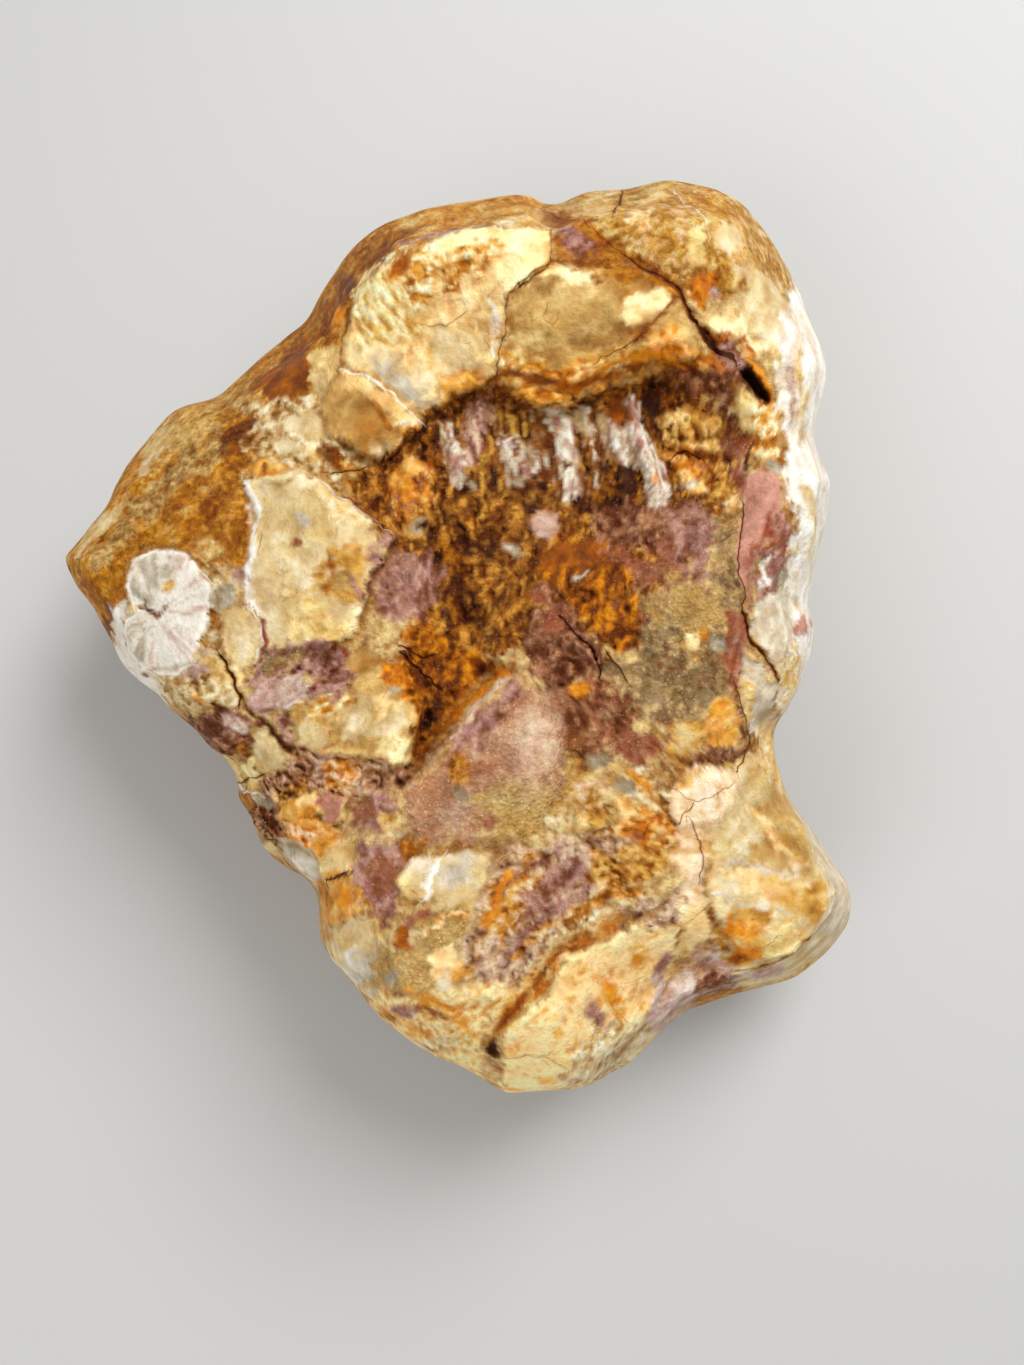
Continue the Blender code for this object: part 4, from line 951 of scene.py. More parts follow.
    area("porous_mauve", 9, (665, 375), (700, 362), (728, 372), (738, 402), (738, 440), (716, 450),
         (716, 408), (690, 392)),
    area("rubble_orange", 6, (388, 482), (405, 455), (436, 455), (436, 500), (420, 520), (392, 515)),
    area("orange_face", 5, (392, 478), (405, 458), (424, 460), (410, 476)),
    spot("olive_glass", 5, 418, 523, 18, 13, 10),
    spot("slate_wax", 6, 420, 522, 11, 7, 10),
    area("porous_dark", 20, (432, 520), (500, 540), (534, 560), (530, 610), (500, 640), (450, 640),
         (430, 590), (420, 555)),
    area("porous", 14, (470, 550), (520, 560), (520, 620), (480, 630)),
    area("pink_grain", 14, (372, 570), (378, 548), (396, 535), (425, 545), (436, 575), (425, 618),
         (400, 622), (372, 605)),
    area("porous_orange", 7, (396, 628), (420, 618), (442, 638), (436, 660), (410, 658)),
    area("porous_orange", 9, (534, 545), (575, 530), (625, 545), (632, 580), (605, 608), (570, 612),
         (545, 590), (534, 565)),
    area("glow", 10, (536, 552), (556, 536), (585, 530), (612, 542), (590, 562), (555, 570)),
    area("porous_orange", 8, (550, 572), (596, 566), (634, 560), (636, 590), (606, 612), (574, 610)),
    area("porous_mauve", 8, (540, 575), (556, 580), (580, 620), (610, 660), (640, 690), (560, 700),
         (530, 668), (520, 640), (532, 610)),
    area("red_drusy", 7, (536, 590), (552, 590), (570, 612), (560, 635), (544, 625)),
    area("porous_orange", 7, (600, 600), (640, 590), (655, 610), (640, 650), (610, 655), (592, 630)),
    area("porous_mauve", 10, (570, 505), (640, 500), (680, 490), (700, 500), (690, 530), (640, 560),
         (600, 530)),
    area("pink_grain", 18, (662, 512), (700, 496), (722, 520), (720, 560), (700, 582), (676, 572),
         (664, 545)),
    area("red_drusy", 18, (622, 552), (664, 545), (680, 575), (662, 592), (630, 590)),

    # ribs and grains in the hollow
    area("fibre_pale", 6, (528, 408), (556, 402), (590, 402), (606, 415), (604, 460), (590, 490),
         (560, 492), (540, 480), (530, 450)),
    area("fibre_pale", 5, (494, 428), (526, 430), (532, 458), (524, 480), (508, 482), (498, 462)),
    stroke("bark", 3, 4, (506, 428), (510, 440), (504, 452)),
    stroke("fibre", 4, 5, (575, 425), (582, 450), (584, 478)),
    stroke("bark", 4, 3.5, (596, 404), (598, 440), (602, 478)),
    stroke("bark", 4, 3.5, (543, 410), (546, 440), (553, 474)),
    area("rib_pink", 2, (467, 402), (476, 393), (489, 395), (495, 412), (490, 430), (483, 442), (478, 462),
         (469, 472), (461, 458), (464, 438), (462, 420)),
    area("rib_white", 2, (440, 416), (455, 418), (462, 438), (469, 455), (473, 474), (464, 486), (452, 472),
         (445, 456), (441, 440)),
    area("rib_white", 3, (496, 432), (508, 434), (513, 448), (504, 458), (498, 450)),
    area("rib_white", 3, (520, 446), (532, 448), (536, 464), (528, 478), (520, 466)),
    area("rib_white", 2, (550, 402), (567, 402), (572, 422), (560, 427), (550, 418)),
    area("ash_wax", 3, (570, 402), (586, 404), (588, 422), (574, 424)),
    area("rib_white", 2, (552, 426), (567, 424), (572, 452), (562, 460), (553, 448)),
    area("rib_white", 2, (561, 464), (573, 462), (579, 490), (565, 495)),
    area("ash_wax", 4, (604, 410), (616, 406), (622, 426), (628, 440), (614, 452), (606, 436)),
    area("rib_white", 2, (602, 420), (618, 420), (640, 426), (652, 462), (638, 472), (626, 460),
         (606, 452)),
    area("rib_white", 2, (624, 391), (634, 387), (642, 402), (648, 424), (654, 446), (660, 468), (640, 468),
         (631, 440), (626, 420)),
    area("rib_white", 2, (637, 460), (659, 456), (668, 474), (671, 494), (664, 508), (649, 506),
         (640, 488)),
    spot("amber", 3, 652, 474, 4, 3),
    area("hole", 4, (648, 392), (660, 398), (664, 424), (658, 432), (652, 416)),
    area("hole", 5, (618, 466), (632, 464), (638, 486), (624, 488)),
    area("rust", 5, (606, 390), (624, 390), (632, 414), (618, 422), (608, 410)),
    spot("lilac_spot", 3, 546, 521, 13, 12),
    spot("hole", 5, 533, 505, 6, 8),
    spot("ash_wax", 4, 513, 547, 10, 5, -20),
    stroke("grain_white", 2.5, 1.8, (577, 575), (590, 567)),
    spot("slate_wax", 4, 472, 482, 4, 5),
    spot("slate_wax", 4, 519, 479, 4, 5),

    # right of the hollow
    area("rubble_gold", 6, (660, 412), (676, 400), (705, 402), (722, 418), (720, 446), (690, 452),
         (664, 440)),
    area("rubble_orange", 6, (664, 446), (700, 448), (722, 455), (722, 480), (700, 492), (672, 480)),
    stroke("grain_white", 3, 3.5, (674, 484), (696, 475)),
    area("rubble_gold", 7, (700, 462), (738, 456), (740, 505), (728, 518), (706, 508)),
    area("bright_wax", 5, (722, 494), (738, 486), (740, 504), (728, 512)),
    area("brick_dark", 6, (722, 440), (736, 440), (746, 470), (744, 490), (730, 476)),
    area("yellow_wax", 5, (733, 384), (757, 396), (757, 424), (740, 428), (730, 405)),
    area("gold_fleck", 7, (756, 400), (774, 398), (780, 425), (782, 450), (760, 462), (748, 440)),
    stroke("bark", 4, 3, (748, 436), (742, 452), (746, 474)),
    area("red_drusy", 6, (722, 426), (740, 424), (744, 442), (730, 452)),
    area("olive_drusy", 10, (712, 512), (736, 508), (742, 560), (742, 606), (724, 606), (716, 560)),
    area("brick_wax", 4, (738, 478), (746, 472), (758, 465), (774, 468), (780, 482), (782, 500), (774, 524),
         (764, 545), (757, 560), (751, 582), (752, 612), (743, 606), (740, 560), (737, 520)),
    stroke("red", 7, 3, (772, 500), (762, 535), (750, 565)),
    area("brick_dark", 5, (772, 524), (781, 508), (798, 543), (780, 546), (765, 548)),
    area("dusk_grain", 5, (762, 550), (792, 547), (796, 562), (792, 592), (774, 592), (758, 600),
         (756, 575)),
    area("white_wax", 4, (760, 562), (768, 558), (770, 580), (762, 586)),
    spot("slate_wax", 5, 786, 574, 8, 12),
    area("slate_wax", 4, (762, 456), (780, 450), (784, 470), (772, 468)),

    # white margin on the right
    area("white_wax", 7, (772, 330), (790, 300), (800, 250), (840, 320), (850, 480), (830, 600), (806, 600),
         (786, 560), (790, 520), (786, 470), (780, 430), (776, 390)),
    stroke("lilac_grain", 8, 4, (784, 350), (792, 380), (788, 420)),
    stroke("rind_pale", 8, 4, (796, 340), (800, 390), (796, 440)),
    stroke("cream_wax", 8, 6, (800, 480), (812, 520), (806, 560)),
    area("white_wax", 6, (792, 560), (830, 560), (830, 700), (790, 720), (778, 700), (784, 640)),
    area("rind_pale", 8, (780, 660), (800, 640), (806, 690), (786, 712)),
    area("brick_wax", 6, (793, 615), (808, 612), (815, 626), (804, 632), (795, 626)),
    area("pale_wax", 5, (752, 600), (768, 590), (794, 586), (792, 640), (780, 668), (768, 655), (748, 625)),
    area("pale_wax", 5, (738, 650), (758, 652), (780, 684), (780, 722), (764, 738), (748, 730), (738, 690)),
    area("rind_pale", 7, (738, 676), (752, 680), (756, 720), (744, 722)),
    stroke("fill_brown", 3, 2.5, (742, 604), (746, 632), (762, 652), (778, 676)),

    # centre right
    area("olive_drusy", 10, (640, 590), (700, 580), (724, 590), (728, 650), (724, 700), (700, 720),
         (660, 720), (600, 700), (580, 680), (620, 660), (640, 640)),
    area("khaki_drusy", 26, (650, 592), (700, 586), (722, 600), (712, 640), (670, 632)),
    area("brick_dark", 4, (726, 606), (741, 604), (744, 640), (738, 668), (731, 692), (722, 668),
         (721, 640)),
    stroke("plum_grain", 4, 4, (731, 688), (736, 712), (744, 738)),
    spot("bright_wax", 5, 687, 640, 11, 9, 30),
    spot("amber", 4, 702, 634, 5, 7),
    spot("slate_wax", 6, 713, 642, 8, 9),
    spot("yellow_wax", 4, 630, 655, 9, 5),
    spot("moss_spot", 5, 705, 700, 8, 10, 20),
    spot("moss_spot", 6, 658, 692, 8, 5),
    area("orange_face", 5, (706, 712), (722, 694), (732, 700), (740, 735), (722, 742), (705, 746)),
    stroke("amber", 3, 2.5, (706, 716), (726, 700)),
    area("red_drusy", 18, (590, 718), (640, 722), (676, 735), (670, 760), (640, 768), (610, 762),
         (590, 745)),
    area("olive_glass", 8, (668, 728), (704, 722), (706, 748), (680, 764), (664, 756)),
    area("plum_grain", 6, (676, 758), (705, 745), (745, 742), (748, 752), (732, 770), (706, 762),
         (690, 766)),
    area("valley_brown", 14, (552, 672), (600, 680), (640, 700), (620, 730), (590, 760), (566, 756),
         (552, 710)),
    area("plum_grain", 10, (528, 664), (556, 672), (572, 700), (574, 750), (562, 742), (548, 700)),
    spot("amber", 4, 580, 686, 9, 6, -20),

    # smooth plate and the pit beside it
    area("pink_drusy", 18, *SMOOTH_PLATE),
    area("dusk_grain", 16, (440, 745), (480, 700), (510, 674), (528, 680), (500, 720), (470, 750),
         (450, 765)),
    area("khaki_drusy", 14, (475, 790), (520, 780), (552, 790), (540, 830), (510, 846), (478, 832)),
    spot("rose_edge", 30, 536, 738, 18, 36, -10),
    spot("rind_orange", 9, 458, 768, 11, 14),
    spot("moss_spot", 7, 457, 790, 10, 7, -20),
    spot("red_drusy", 8, 480, 764, 13, 6, 20),
    spot("red_drusy", 6, 490, 822, 9, 10),
    area("dusk_grain", 9, (350, 800), (385, 790), (400, 805), (390, 830), (360, 828)),
    area("red_drusy", 8, (346, 800), (372, 796), (380, 815), (354, 826)),
    area("rind_pale", 7, (380, 812), (404, 806), (408, 830), (388, 834)),
    spot("grain_white", 3, 401, 829, 5, 4),
    area("pit_gloss", 5, (398, 650), (430, 638), (480, 650), (492, 664), (455, 700), (430, 740), (414, 752),
         (412, 700)),
    area("porous_dark", 10, (424, 686), (450, 690), (442, 718), (422, 742), (414, 716)),
    area("porous_orange", 5, (436, 668), (458, 658), (464, 668), (440, 682)),
    stroke("rind_orange", 5, 7, (500, 668), (470, 698), (442, 724), (418, 756)),
    stroke("amber", 5, 3, (498, 674), (472, 700), (446, 722)),
    stroke("rose_edge", 3, 2.5, (509, 670), (474, 708), (450, 742)),
    spot("amber", 3, 501, 670, 7, 5),
    area("tan_grain", 6, (566, 775), (600, 770), (616, 790), (600, 800), (575, 800)),
    area("rubble_cream", 9, (604, 770), (640, 775), (672, 790), (668, 808), (640, 806), (610, 800)),
    area("gold_fleck", 6, (614, 776), (640, 780), (652, 796), (632, 802), (616, 794)),
    spot("moss_spot", 5, 600, 758, 14, 9),
    spot("slate_wax", 4, 624, 788, 7, 11, 30),
    spot("yellow_wax", 4, 618, 768, 7, 6),
    spot("amber", 3, 629, 774, 4, 4),
    area("rubble_gold", 5, (574, 806), (598, 800), (608, 818), (594, 838), (574, 832)),
    area("rubble_cream", 8, (544, 812), (575, 806), (570, 838), (545, 840)),

    # lower left of the plate
    area("dusk_grain", 9, (358, 832), (400, 838), (424, 845), (410, 870), (398, 900), (376, 925),
         (358, 900), (352, 868)),
    area("red_drusy", 9, (372, 848), (396, 850), (398, 875), (384, 900), (372, 880)),
    area("rind_orange", 8, (402, 838), (424, 840), (420, 858), (404, 862)),

    # lower flake and the khaki plates below it
    area("flake_pale", 4, *LOWER_FLAKE),
    spot("ash_wax", 12, 456, 868, 20, 12, 30),
    area("flake_pale", 6, (468, 862), (500, 852), (502, 880), (480, 900), (462, 904)),
    area("yellow_wax", 4, (398, 872), (410, 866), (412, 882), (402, 890)),
    # a painted highlight along the lower flake's edge
    stroke("white_wax", 4, 4, (444, 850), (432, 872), (420, 896)),
    area("khaki_drusy", 10, (424, 900), (470, 896), (474, 930), (456, 950), (430, 946), (418, 925)),
    stroke("gold_fleck", 6, 5, (424, 934), (446, 916), (470, 908)),
    stroke("rust", 6, 7, (398, 925), (400, 940), (412, 950)),
    stroke("red_drusy", 6, 6, (404, 920), (420, 908), (436, 912)),
    area("khaki_wax", 6, (318, 925), (345, 925), (372, 918), (380, 950), (370, 980), (345, 985),
         (325, 962)),
    area("olive_glass", 9, (316, 928), (340, 930), (350, 950), (336, 970), (322, 960)),
    area("khaki_wax", 5, (322, 942), (345, 940), (352, 965), (338, 980), (324, 964)),
    area("ash_wax", 9, (341, 970), (352, 955), (376, 950), (398, 962), (396, 990), (372, 1000), (350, 990)),
    area("khaki_drusy", 8, (376, 950), (430, 952), (436, 985), (410, 998), (380, 995), (362, 985)),
    spot("slate_wax", 5, 388, 978, 7, 6),
    area("bright_wax", 5, (430, 956), (456, 948), (460, 964), (438, 976)),
    area("orange_face", 4, (446, 975), (462, 962), (478, 956), (476, 968), (460, 980)),
    area("khaki_wax", 6, (456, 980), (478, 966), (486, 980), (470, 1000)),

    # rough band and streaks
    area("band_rough", 8, (498, 850), (560, 838), (640, 830), (660, 850), (640, 890), (590, 912),
         (556, 945), (520, 990), (490, 985), (470, 960), (474, 900), (490, 878)),
    area("band_orange", 10, (490, 890), (508, 880), (520, 850), (548, 850), (540, 900), (500, 940),
         (484, 930)),
    area("dusk_grain", 14, (548, 862), (585, 856), (596, 874), (560, 898), (528, 920), (516, 914),
         (534, 888)),
    area("rubble_gold", 8, (590, 860), (630, 838), (672, 838), (676, 870), (640, 885), (600, 900)),
    area("rubble_orange", 8, (620, 800), (665, 810), (676, 838), (640, 845), (615, 830)),
    area("band_orange", 8, (560, 905), (600, 888), (640, 878), (650, 900), (600, 925), (565, 945)),
    stroke("dusk_brown", 9, 5, (502, 968), (524, 930), (556, 906), (592, 884)),
    stroke("band_orange", 6, 5, (512, 958), (546, 922), (590, 900)),
    stroke("dusk_brown", 8, 4, (496, 902), (520, 872), (548, 852), (584, 844)),
    stroke("amber", 5, 4, (486, 922), (500, 894), (516, 866)),
    stroke("rubble_cream", 6, 6, (528, 970), (562, 932), (612, 908), (650, 896)),
    area("streak_band", 8, (375, 990), (420, 992), (470, 992), (500, 985), (520, 990), (500, 1030),
         (486, 1050), (480, 1085), (430, 1075), (390, 1050), (360, 1015)),
    spot("rind_orange", 7, 388, 1022, 12, 8, -20),
    spot("dusk_grain", 8, 402, 1010, 12, 8),
    stroke("amber", 6, 4, (404, 988), (436, 1000), (470, 1018)),
    stroke("groove_gold", 6, 5, (382, 1012), (418, 1030), (452, 1046)),
    stroke("orange_face", 6, 5, (440, 1010), (462, 1024), (482, 1040)),
    stroke("rust", 4, 2.5, (412, 1002), (440, 1014), (462, 1030)),
    spot("rubble_cream", 7, 430, 1050, 30, 10, 25),
    # Along the groove under the bottom lobe's edge, the orange and rust strokes are partly orange stain and
    # partly painted shade on the step's wall; the hole at its end is painted shade
    stroke("groove", 8, 11, (488, 1046), (508, 1020), (541, 977), (560, 952)),
    stroke("groove", 8, 8, (556, 955), (593, 932), (638, 915), (690, 890)),
    stroke("groove_gold", 6, 4, (548, 964), (590, 934), (640, 914)),
    stroke("groove_gold", 8, 7, (490, 1044), (508, 1016), (532, 988), (560, 956)),
    stroke("rust", 5, 3, (494, 1036), (510, 1012), (532, 986), (556, 958), (590, 938)),
    area("hole", 4, (486, 1042), (496, 1040), (498, 1050), (491, 1058), (485, 1052)),

    # bottom lobe
    area("lobe_gold", 5, (500, 1120), (502, 1040), (545, 990), (566, 958), (593, 942), (645, 924),
         (676, 930), (672, 960), (690, 1010), (640, 1070), (600, 1120)),
    area("rubble_cream", 12, (600, 1020), (650, 1010), (660, 1030), (610, 1080), (570, 1100), (560, 1080)),
    stroke("lobe_amber", 7, 6, (594, 978), (606, 990), (618, 1006)),
    spot("dusk_grain", 10, 593, 1014, 9, 16, 30),
    spot("amber", 7, 634, 960, 5, 7),
    stroke("dusk_grain", 5, 5, (650, 985), (660, 965), (672, 950)),

    # right lobe with its knob
    area("band_rough", 8, (630, 905), (680, 885), (700, 895), (690, 925), (650, 925), (625, 925)),
    area("lilac_band", 9, (640, 1000), (660, 975), (700, 945), (720, 935), (745, 960), (755, 985),
         (720, 1005), (690, 1015), (660, 1035)),
    area("plum_grain", 8, (700, 975), (726, 965), (744, 985), (718, 1000), (700, 996)),
    area("lilac_grain", 8, (690, 955), (712, 945), (716, 962), (696, 975)),
    stroke("rind_orange", 4, 3.5, (690, 1008), (720, 998), (748, 992)),
    area("knob_wax", 6, (676, 822), (712, 820), (708, 850), (702, 880), (710, 900), (698, 918), (684, 905),
         (674, 860)),
    area("bright_wax", 7, (680, 900), (706, 900), (712, 925), (694, 945), (676, 950), (680, 925)),
    area("lobe_khaki", 6, (712, 770), (745, 745), (790, 750), (830, 810), (865, 870), (862, 930),
         (835, 965), (790, 990), (745, 990), (722, 955), (708, 905), (702, 860), (708, 820)),
    area("rind_pale", 8, (756, 745), (780, 722), (800, 780), (780, 790), (762, 775)),
    area("lobe_tan", 9, (757, 776), (785, 780), (812, 815), (812, 845), (790, 850), (762, 830), (754, 800)),
    area("lobe_khaki", 5, (720, 800), (735, 765), (752, 758), (758, 775), (754, 800), (738, 815),
         (722, 818)),
    area("lobe_tan", 12, (735, 850), (770, 835), (815, 830), (812, 855), (780, 865), (745, 870)),
    area("bright_wax", 9, (735, 874), (755, 868), (785, 880), (800, 890), (780, 902), (750, 900),
         (736, 892)),
    area("khaki_wax", 8, (802, 850), (830, 840), (846, 880), (830, 900), (806, 880)),
    area("olive_glass", 8, (790, 890), (830, 885), (828, 920), (800, 930), (782, 912)),
    stroke("bright_wax", 5, 4, (741, 804), (766, 824), (786, 850), (812, 866)),
    stroke("bright_wax", 5, 4, (712, 868), (744, 876), (776, 888), (806, 886)),
    stroke("grain_white", 3, 2, (722, 858), (752, 862), (784, 874), (818, 868)),
    stroke("grain_white", 3, 2, (706, 890), (736, 902), (768, 904), (796, 916)),
    area("olive_glass", 8, (735, 905), (770, 902), (772, 925), (745, 930), (730, 920)),
    area("lobe_amber", 5, (728, 925), (748, 918), (768, 928), (766, 960), (745, 968), (730, 958)),
    spot("rust", 5, 738, 958, 8, 6),
    area("yellow_wax", 6, (764, 925), (795, 925), (802, 955), (775, 970), (764, 955)),
    spot("rind_orange", 5, 809, 946, 9, 6, -20),
    area("pale_wax", 9, (800, 790), (820, 800), (850, 850), (864, 890), (856, 925), (838, 945), (826, 930),
         (838, 905), (832, 870), (812, 830)),
    stroke("rind_orange", 5, 4, (738, 970), (770, 972), (800, 962)),
    stroke("lilac_grain", 5, 6, (735, 978), (765, 982), (790, 974)),
    stroke("rind_pale", 5, 5, (745, 992), (790, 988), (825, 965)),
    stroke("rind_orange", 6, 4, (712, 905), (716, 930), (728, 950)),
    area("knob_wax", 4, *KNOB),
    stroke("orange_face", 4, 3, (674, 786), (684, 776), (700, 768)),
]


def rubble(at):
    """Rough matter: a number for each broken face, the face's height, and ragged ridges."""
    u, v, w = at
    bent_u = u + 8.0 * ripples(*(at / 23.0), 61, 4)
    bent_v = v + 8.0 * ripples(*(at / 23.0), 67, 4)
    c, s = cos(0.6), sin(0.6)
    along, across = bent_u * c + bent_v * s + 0.6 * w, bent_v * c - bent_u * s + 0.8 * w
    number, face = facets(along / 9.0, across / 15.0, 83)
    fibres = crags((bent_u - 0.2 * bent_v) / 9.0, bent_v / 34.0, w / 34.0, 71)
    chunks = crags((bent_u * c - bent_v * s) / 14.0, (bent_u * s + bent_v * c) / 19.0, w / 16.0, 73)
    crag = chunks + smooth(inside(HOLLOW, u, v) / 60.0 + 0.5) * (fibres - chunks)
    return np.stack((number, face, crag))


# Even patterns: (how long they are for their width, weight, octaves, weight of the fine grain)
PATTERNS = {
    "streak": (6.0, 0.80, 3, 0.15),
    "grain": (1.6, 0.40, 3, 0.35),
    "sugar": (1.6, 0.28, 2, 0.18),
    "cloud": (1.4, 0.38, 4, 0.10),
}


def pattern_share(pattern, size, turn, at, pieces, seed):
    """How light a finish is at each point, from 0 to 1, by its pattern."""
    u, v, w = at
    number, _, crag = pieces
    c, s = cos(radians(turn)), sin(radians(turn))
    along, across = u * c - v * s, u * s + v * c
    fine = ripples(*(at / 5.0), seed + 5, 2)
    if pattern in PATTERNS:
        stretch, weight, octaves, fine_weight = PATTERNS[pattern]
        wide = ripples(along / (stretch * size), across / size, w / size, seed, octaves)
        return 0.5 + weight * wide + fine_weight * fine
    if pattern == "fleck":
        wide = ripples(along / (2.2 * size), across / size, w / size, seed, 3)
        return 0.42 + 0.55 * wide + 0.55 * (crag - 0.3) + 0.35 * fine
    if pattern == "chips":
        wide = ripples(*(at / 19.0), seed, 3)
        return 0.30 + 0.26 * number + 0.50 * (crag - 0.3) + 0.35 * wide + 0.4 * fine
    right, down = u - RING_MIDDLE[0], v - RING_MIDDLE[1]
    ray = np.arctan2(down, right) * RAYS
    return 0.5 + 0.6 * ripples(ray, np.hypot(right, down) / 30.0, w / 30.0, seed, 3)


def between(share, low, middle, high):
    """The colour at a share of the way from a dark tone through a middle one to a light one."""
    share = share[:, None]
    upward = middle + (2.0 * share - 1.0) * (high - middle)
    return np.where(share < 0.5, low + 2.0 * share * (middle - low), upward)


def lift_values(finish, at, pieces, tones):
    """Colour, wax, grain, crystal, roughness and lightness of one finish at the points."""
    dark, middle, light, pattern, size, turn, wax, grain, crystal, rough = FINISHES[finish]
    share = pattern_share(pattern, size, turn, at, pieces, sum(map(ord, finish)))
    share = np.clip(share, 0.0, 1.0)
    colour = between(share, *(np.array(tones[name]) for name in (dark, middle, light)))
    rest = np.broadcast_to((wax, grain, crystal, rough), (len(share), 4))
    return np.hstack((colour, rest, share[:, None]))


def painted(at, tones):
    """Colour, wax, grain, crystal, roughness and lightness of the upper face, and its broken faces."""
    pieces = rubble(at)
    made = lift_values("base", at, pieces, tones)
    wander_u, wander_v = wander(*at[:2])
    uneven = ripples(*(at / 12.0), 151, 3)
    for finish, edge, ragged, depth, low, high in PAINT:
        reach = edge + ragged
        near = (wander_u > low[0] - reach) & (wander_u < high[0] + reach)
        near &= (wander_v > low[1] - reach) & (wander_v < high[1] + reach)
        index = np.nonzero(near)[0]
        if len(index) == 0:
            continue
        inner = depth(wander_u[index], wander_v[index]) + ragged * uneven[index]
        mask = smooth(inner / edge + 0.5)[:, None]
        new = lift_values(finish, at[:, index], pieces[:, index], tones)
        made[index] += mask * (new - made[index])
    return made, pieces


# Hairlines: (width, line). Dark ones are cracks, darkened as painted shade, and a few painted shadow lines
# along the edges of plates; pale ones are the rims of crusts and plates, some of them painted highlights
# along lit lips.
CRACKS_AND_SHADOW_LINES = [
    (0.5, (549, 199), (583, 219), (624, 250)),
    (0.8, (624, 250), (652, 268), (672, 280)),
    (1.6, (672, 280), (684, 294), (698, 314), (709, 332)),
    (2.6, (709, 332), (718, 344), (728, 352)),
    (1.0, (616, 180), (614, 206)),
    (0.5, (550, 222), (550, 262), (524, 274), (512, 285), (504, 322), (494, 372)),
    (0.8, (738, 500), (742, 545), (741, 606)),
    (1.2, (741, 606), (743, 620), (746, 632)),
    (0.7, (746, 634), (760, 650), (770, 663), (778, 678)),
    (1.3, (563, 612), (580, 632), (591, 650), (599, 676)),
    (1.2, (604, 650), (612, 660)),
    (1.0, (615, 663), (626, 678)),
    (1.3, (224, 652), (236, 680), (245, 695), (244, 702)),
    (0.4, (672, 786), (698, 800), (724, 783)),
    (0.5, (695, 800), (678, 823), (668, 820)),
    (0.5, (693, 822), (697, 846), (700, 861), (698, 876)),
    (0.4, (508, 1057), (545, 1054), (565, 1067)),
    # a painted shadow line along a plate's edge
    (0.4, (427, 319), (444, 320), (464, 308)),
    (0.7, (732, 679), (740, 705), (747, 732), (745, 744), (734, 768)),
    (0.6, (427, 420), (406, 440), (389, 460)),
    (0.7, (396, 534), (376, 516), (352, 494)),
    (1.4, (400, 648), (415, 662), (438, 683)),
    (1.0, (398, 640), (420, 655), (432, 650)),
    (0.5, (640, 326), (622, 344), (596, 358)),
    (1.0, (673, 455), (684, 450), (697, 458)),
    (0.8, (366, 465), (352, 470), (330, 468)),
    (0.8, (345, 870), (330, 876), (322, 888)),
    (0.8, (230, 780), (250, 776), (262, 772)),
]
PALE_RIMS_AND_HIGHLIGHTS = [
    (1.5, (132, 600), (127, 580), (133, 563), (146, 551), (163, 547), (183, 552), (203, 566), (208, 576)),
    (1.5, (154, 609), (139, 607), (127, 619), (122, 632), (125, 649), (135, 661), (152, 670), (168, 673),
     (184, 670), (196, 661)),
    (1.6, (252, 608), (263, 620), (266, 636), (262, 650)),
    (1.8, (248, 480), (258, 500), (262, 512), (256, 530), (252, 548), (243, 570), (248, 594), (260, 604)),
    (0.8, (675, 180), (690, 198), (700, 212), (709, 230)),
    # painted highlights along lit edges: the lower flake, the thin flake and the cream plate's upper right
    # lip
    (1.6, (445, 850), (433, 872), (421, 895)),
    (1.2, (344, 363), (364, 369), (392, 389), (421, 417)),
    (1.0, (325, 482), (356, 500), (395, 532)),
    (1.2, (228, 782), (245, 788), (262, 792)),
]


def hairlines(lines, u, v):
    """The distance to the nearest hairline, with its side as its sign, and that hairline's width."""
    found, width = np.full(u.shape, NO_LINE), np.zeros(u.shape)
    for half, *line in lines:
        far, _ = beside(line, u, v)
        closer = np.abs(far) - half < np.abs(found) - width
        found = np.where(closer, far, found)
        width = np.where(closer, half, width)
    width = np.where(np.abs(found) < width + LINE_REACH, width, 0.0)
    return np.clip(found, -LINE_LIMIT, LINE_LIMIT), width


# The whole stone

def fine_relief(at, made, pieces):
    """Broken faces and grain on the upper face, in millimetres, by how rough and light its matter is."""
    rough, share = made[:, 6:].T
    _, face, crag = pieces
    grain = ripples(*(at / 6.0), 97, 2)
    swells = ripples(*(at / 45.0), 131, 3)
    broken = 2.3 * (crag - 0.35) + 0.7 * (face - 0.3) + 0.6 * (share - 0.5) + 0.45 * grain
    return rough * broken + 0.35 * swells


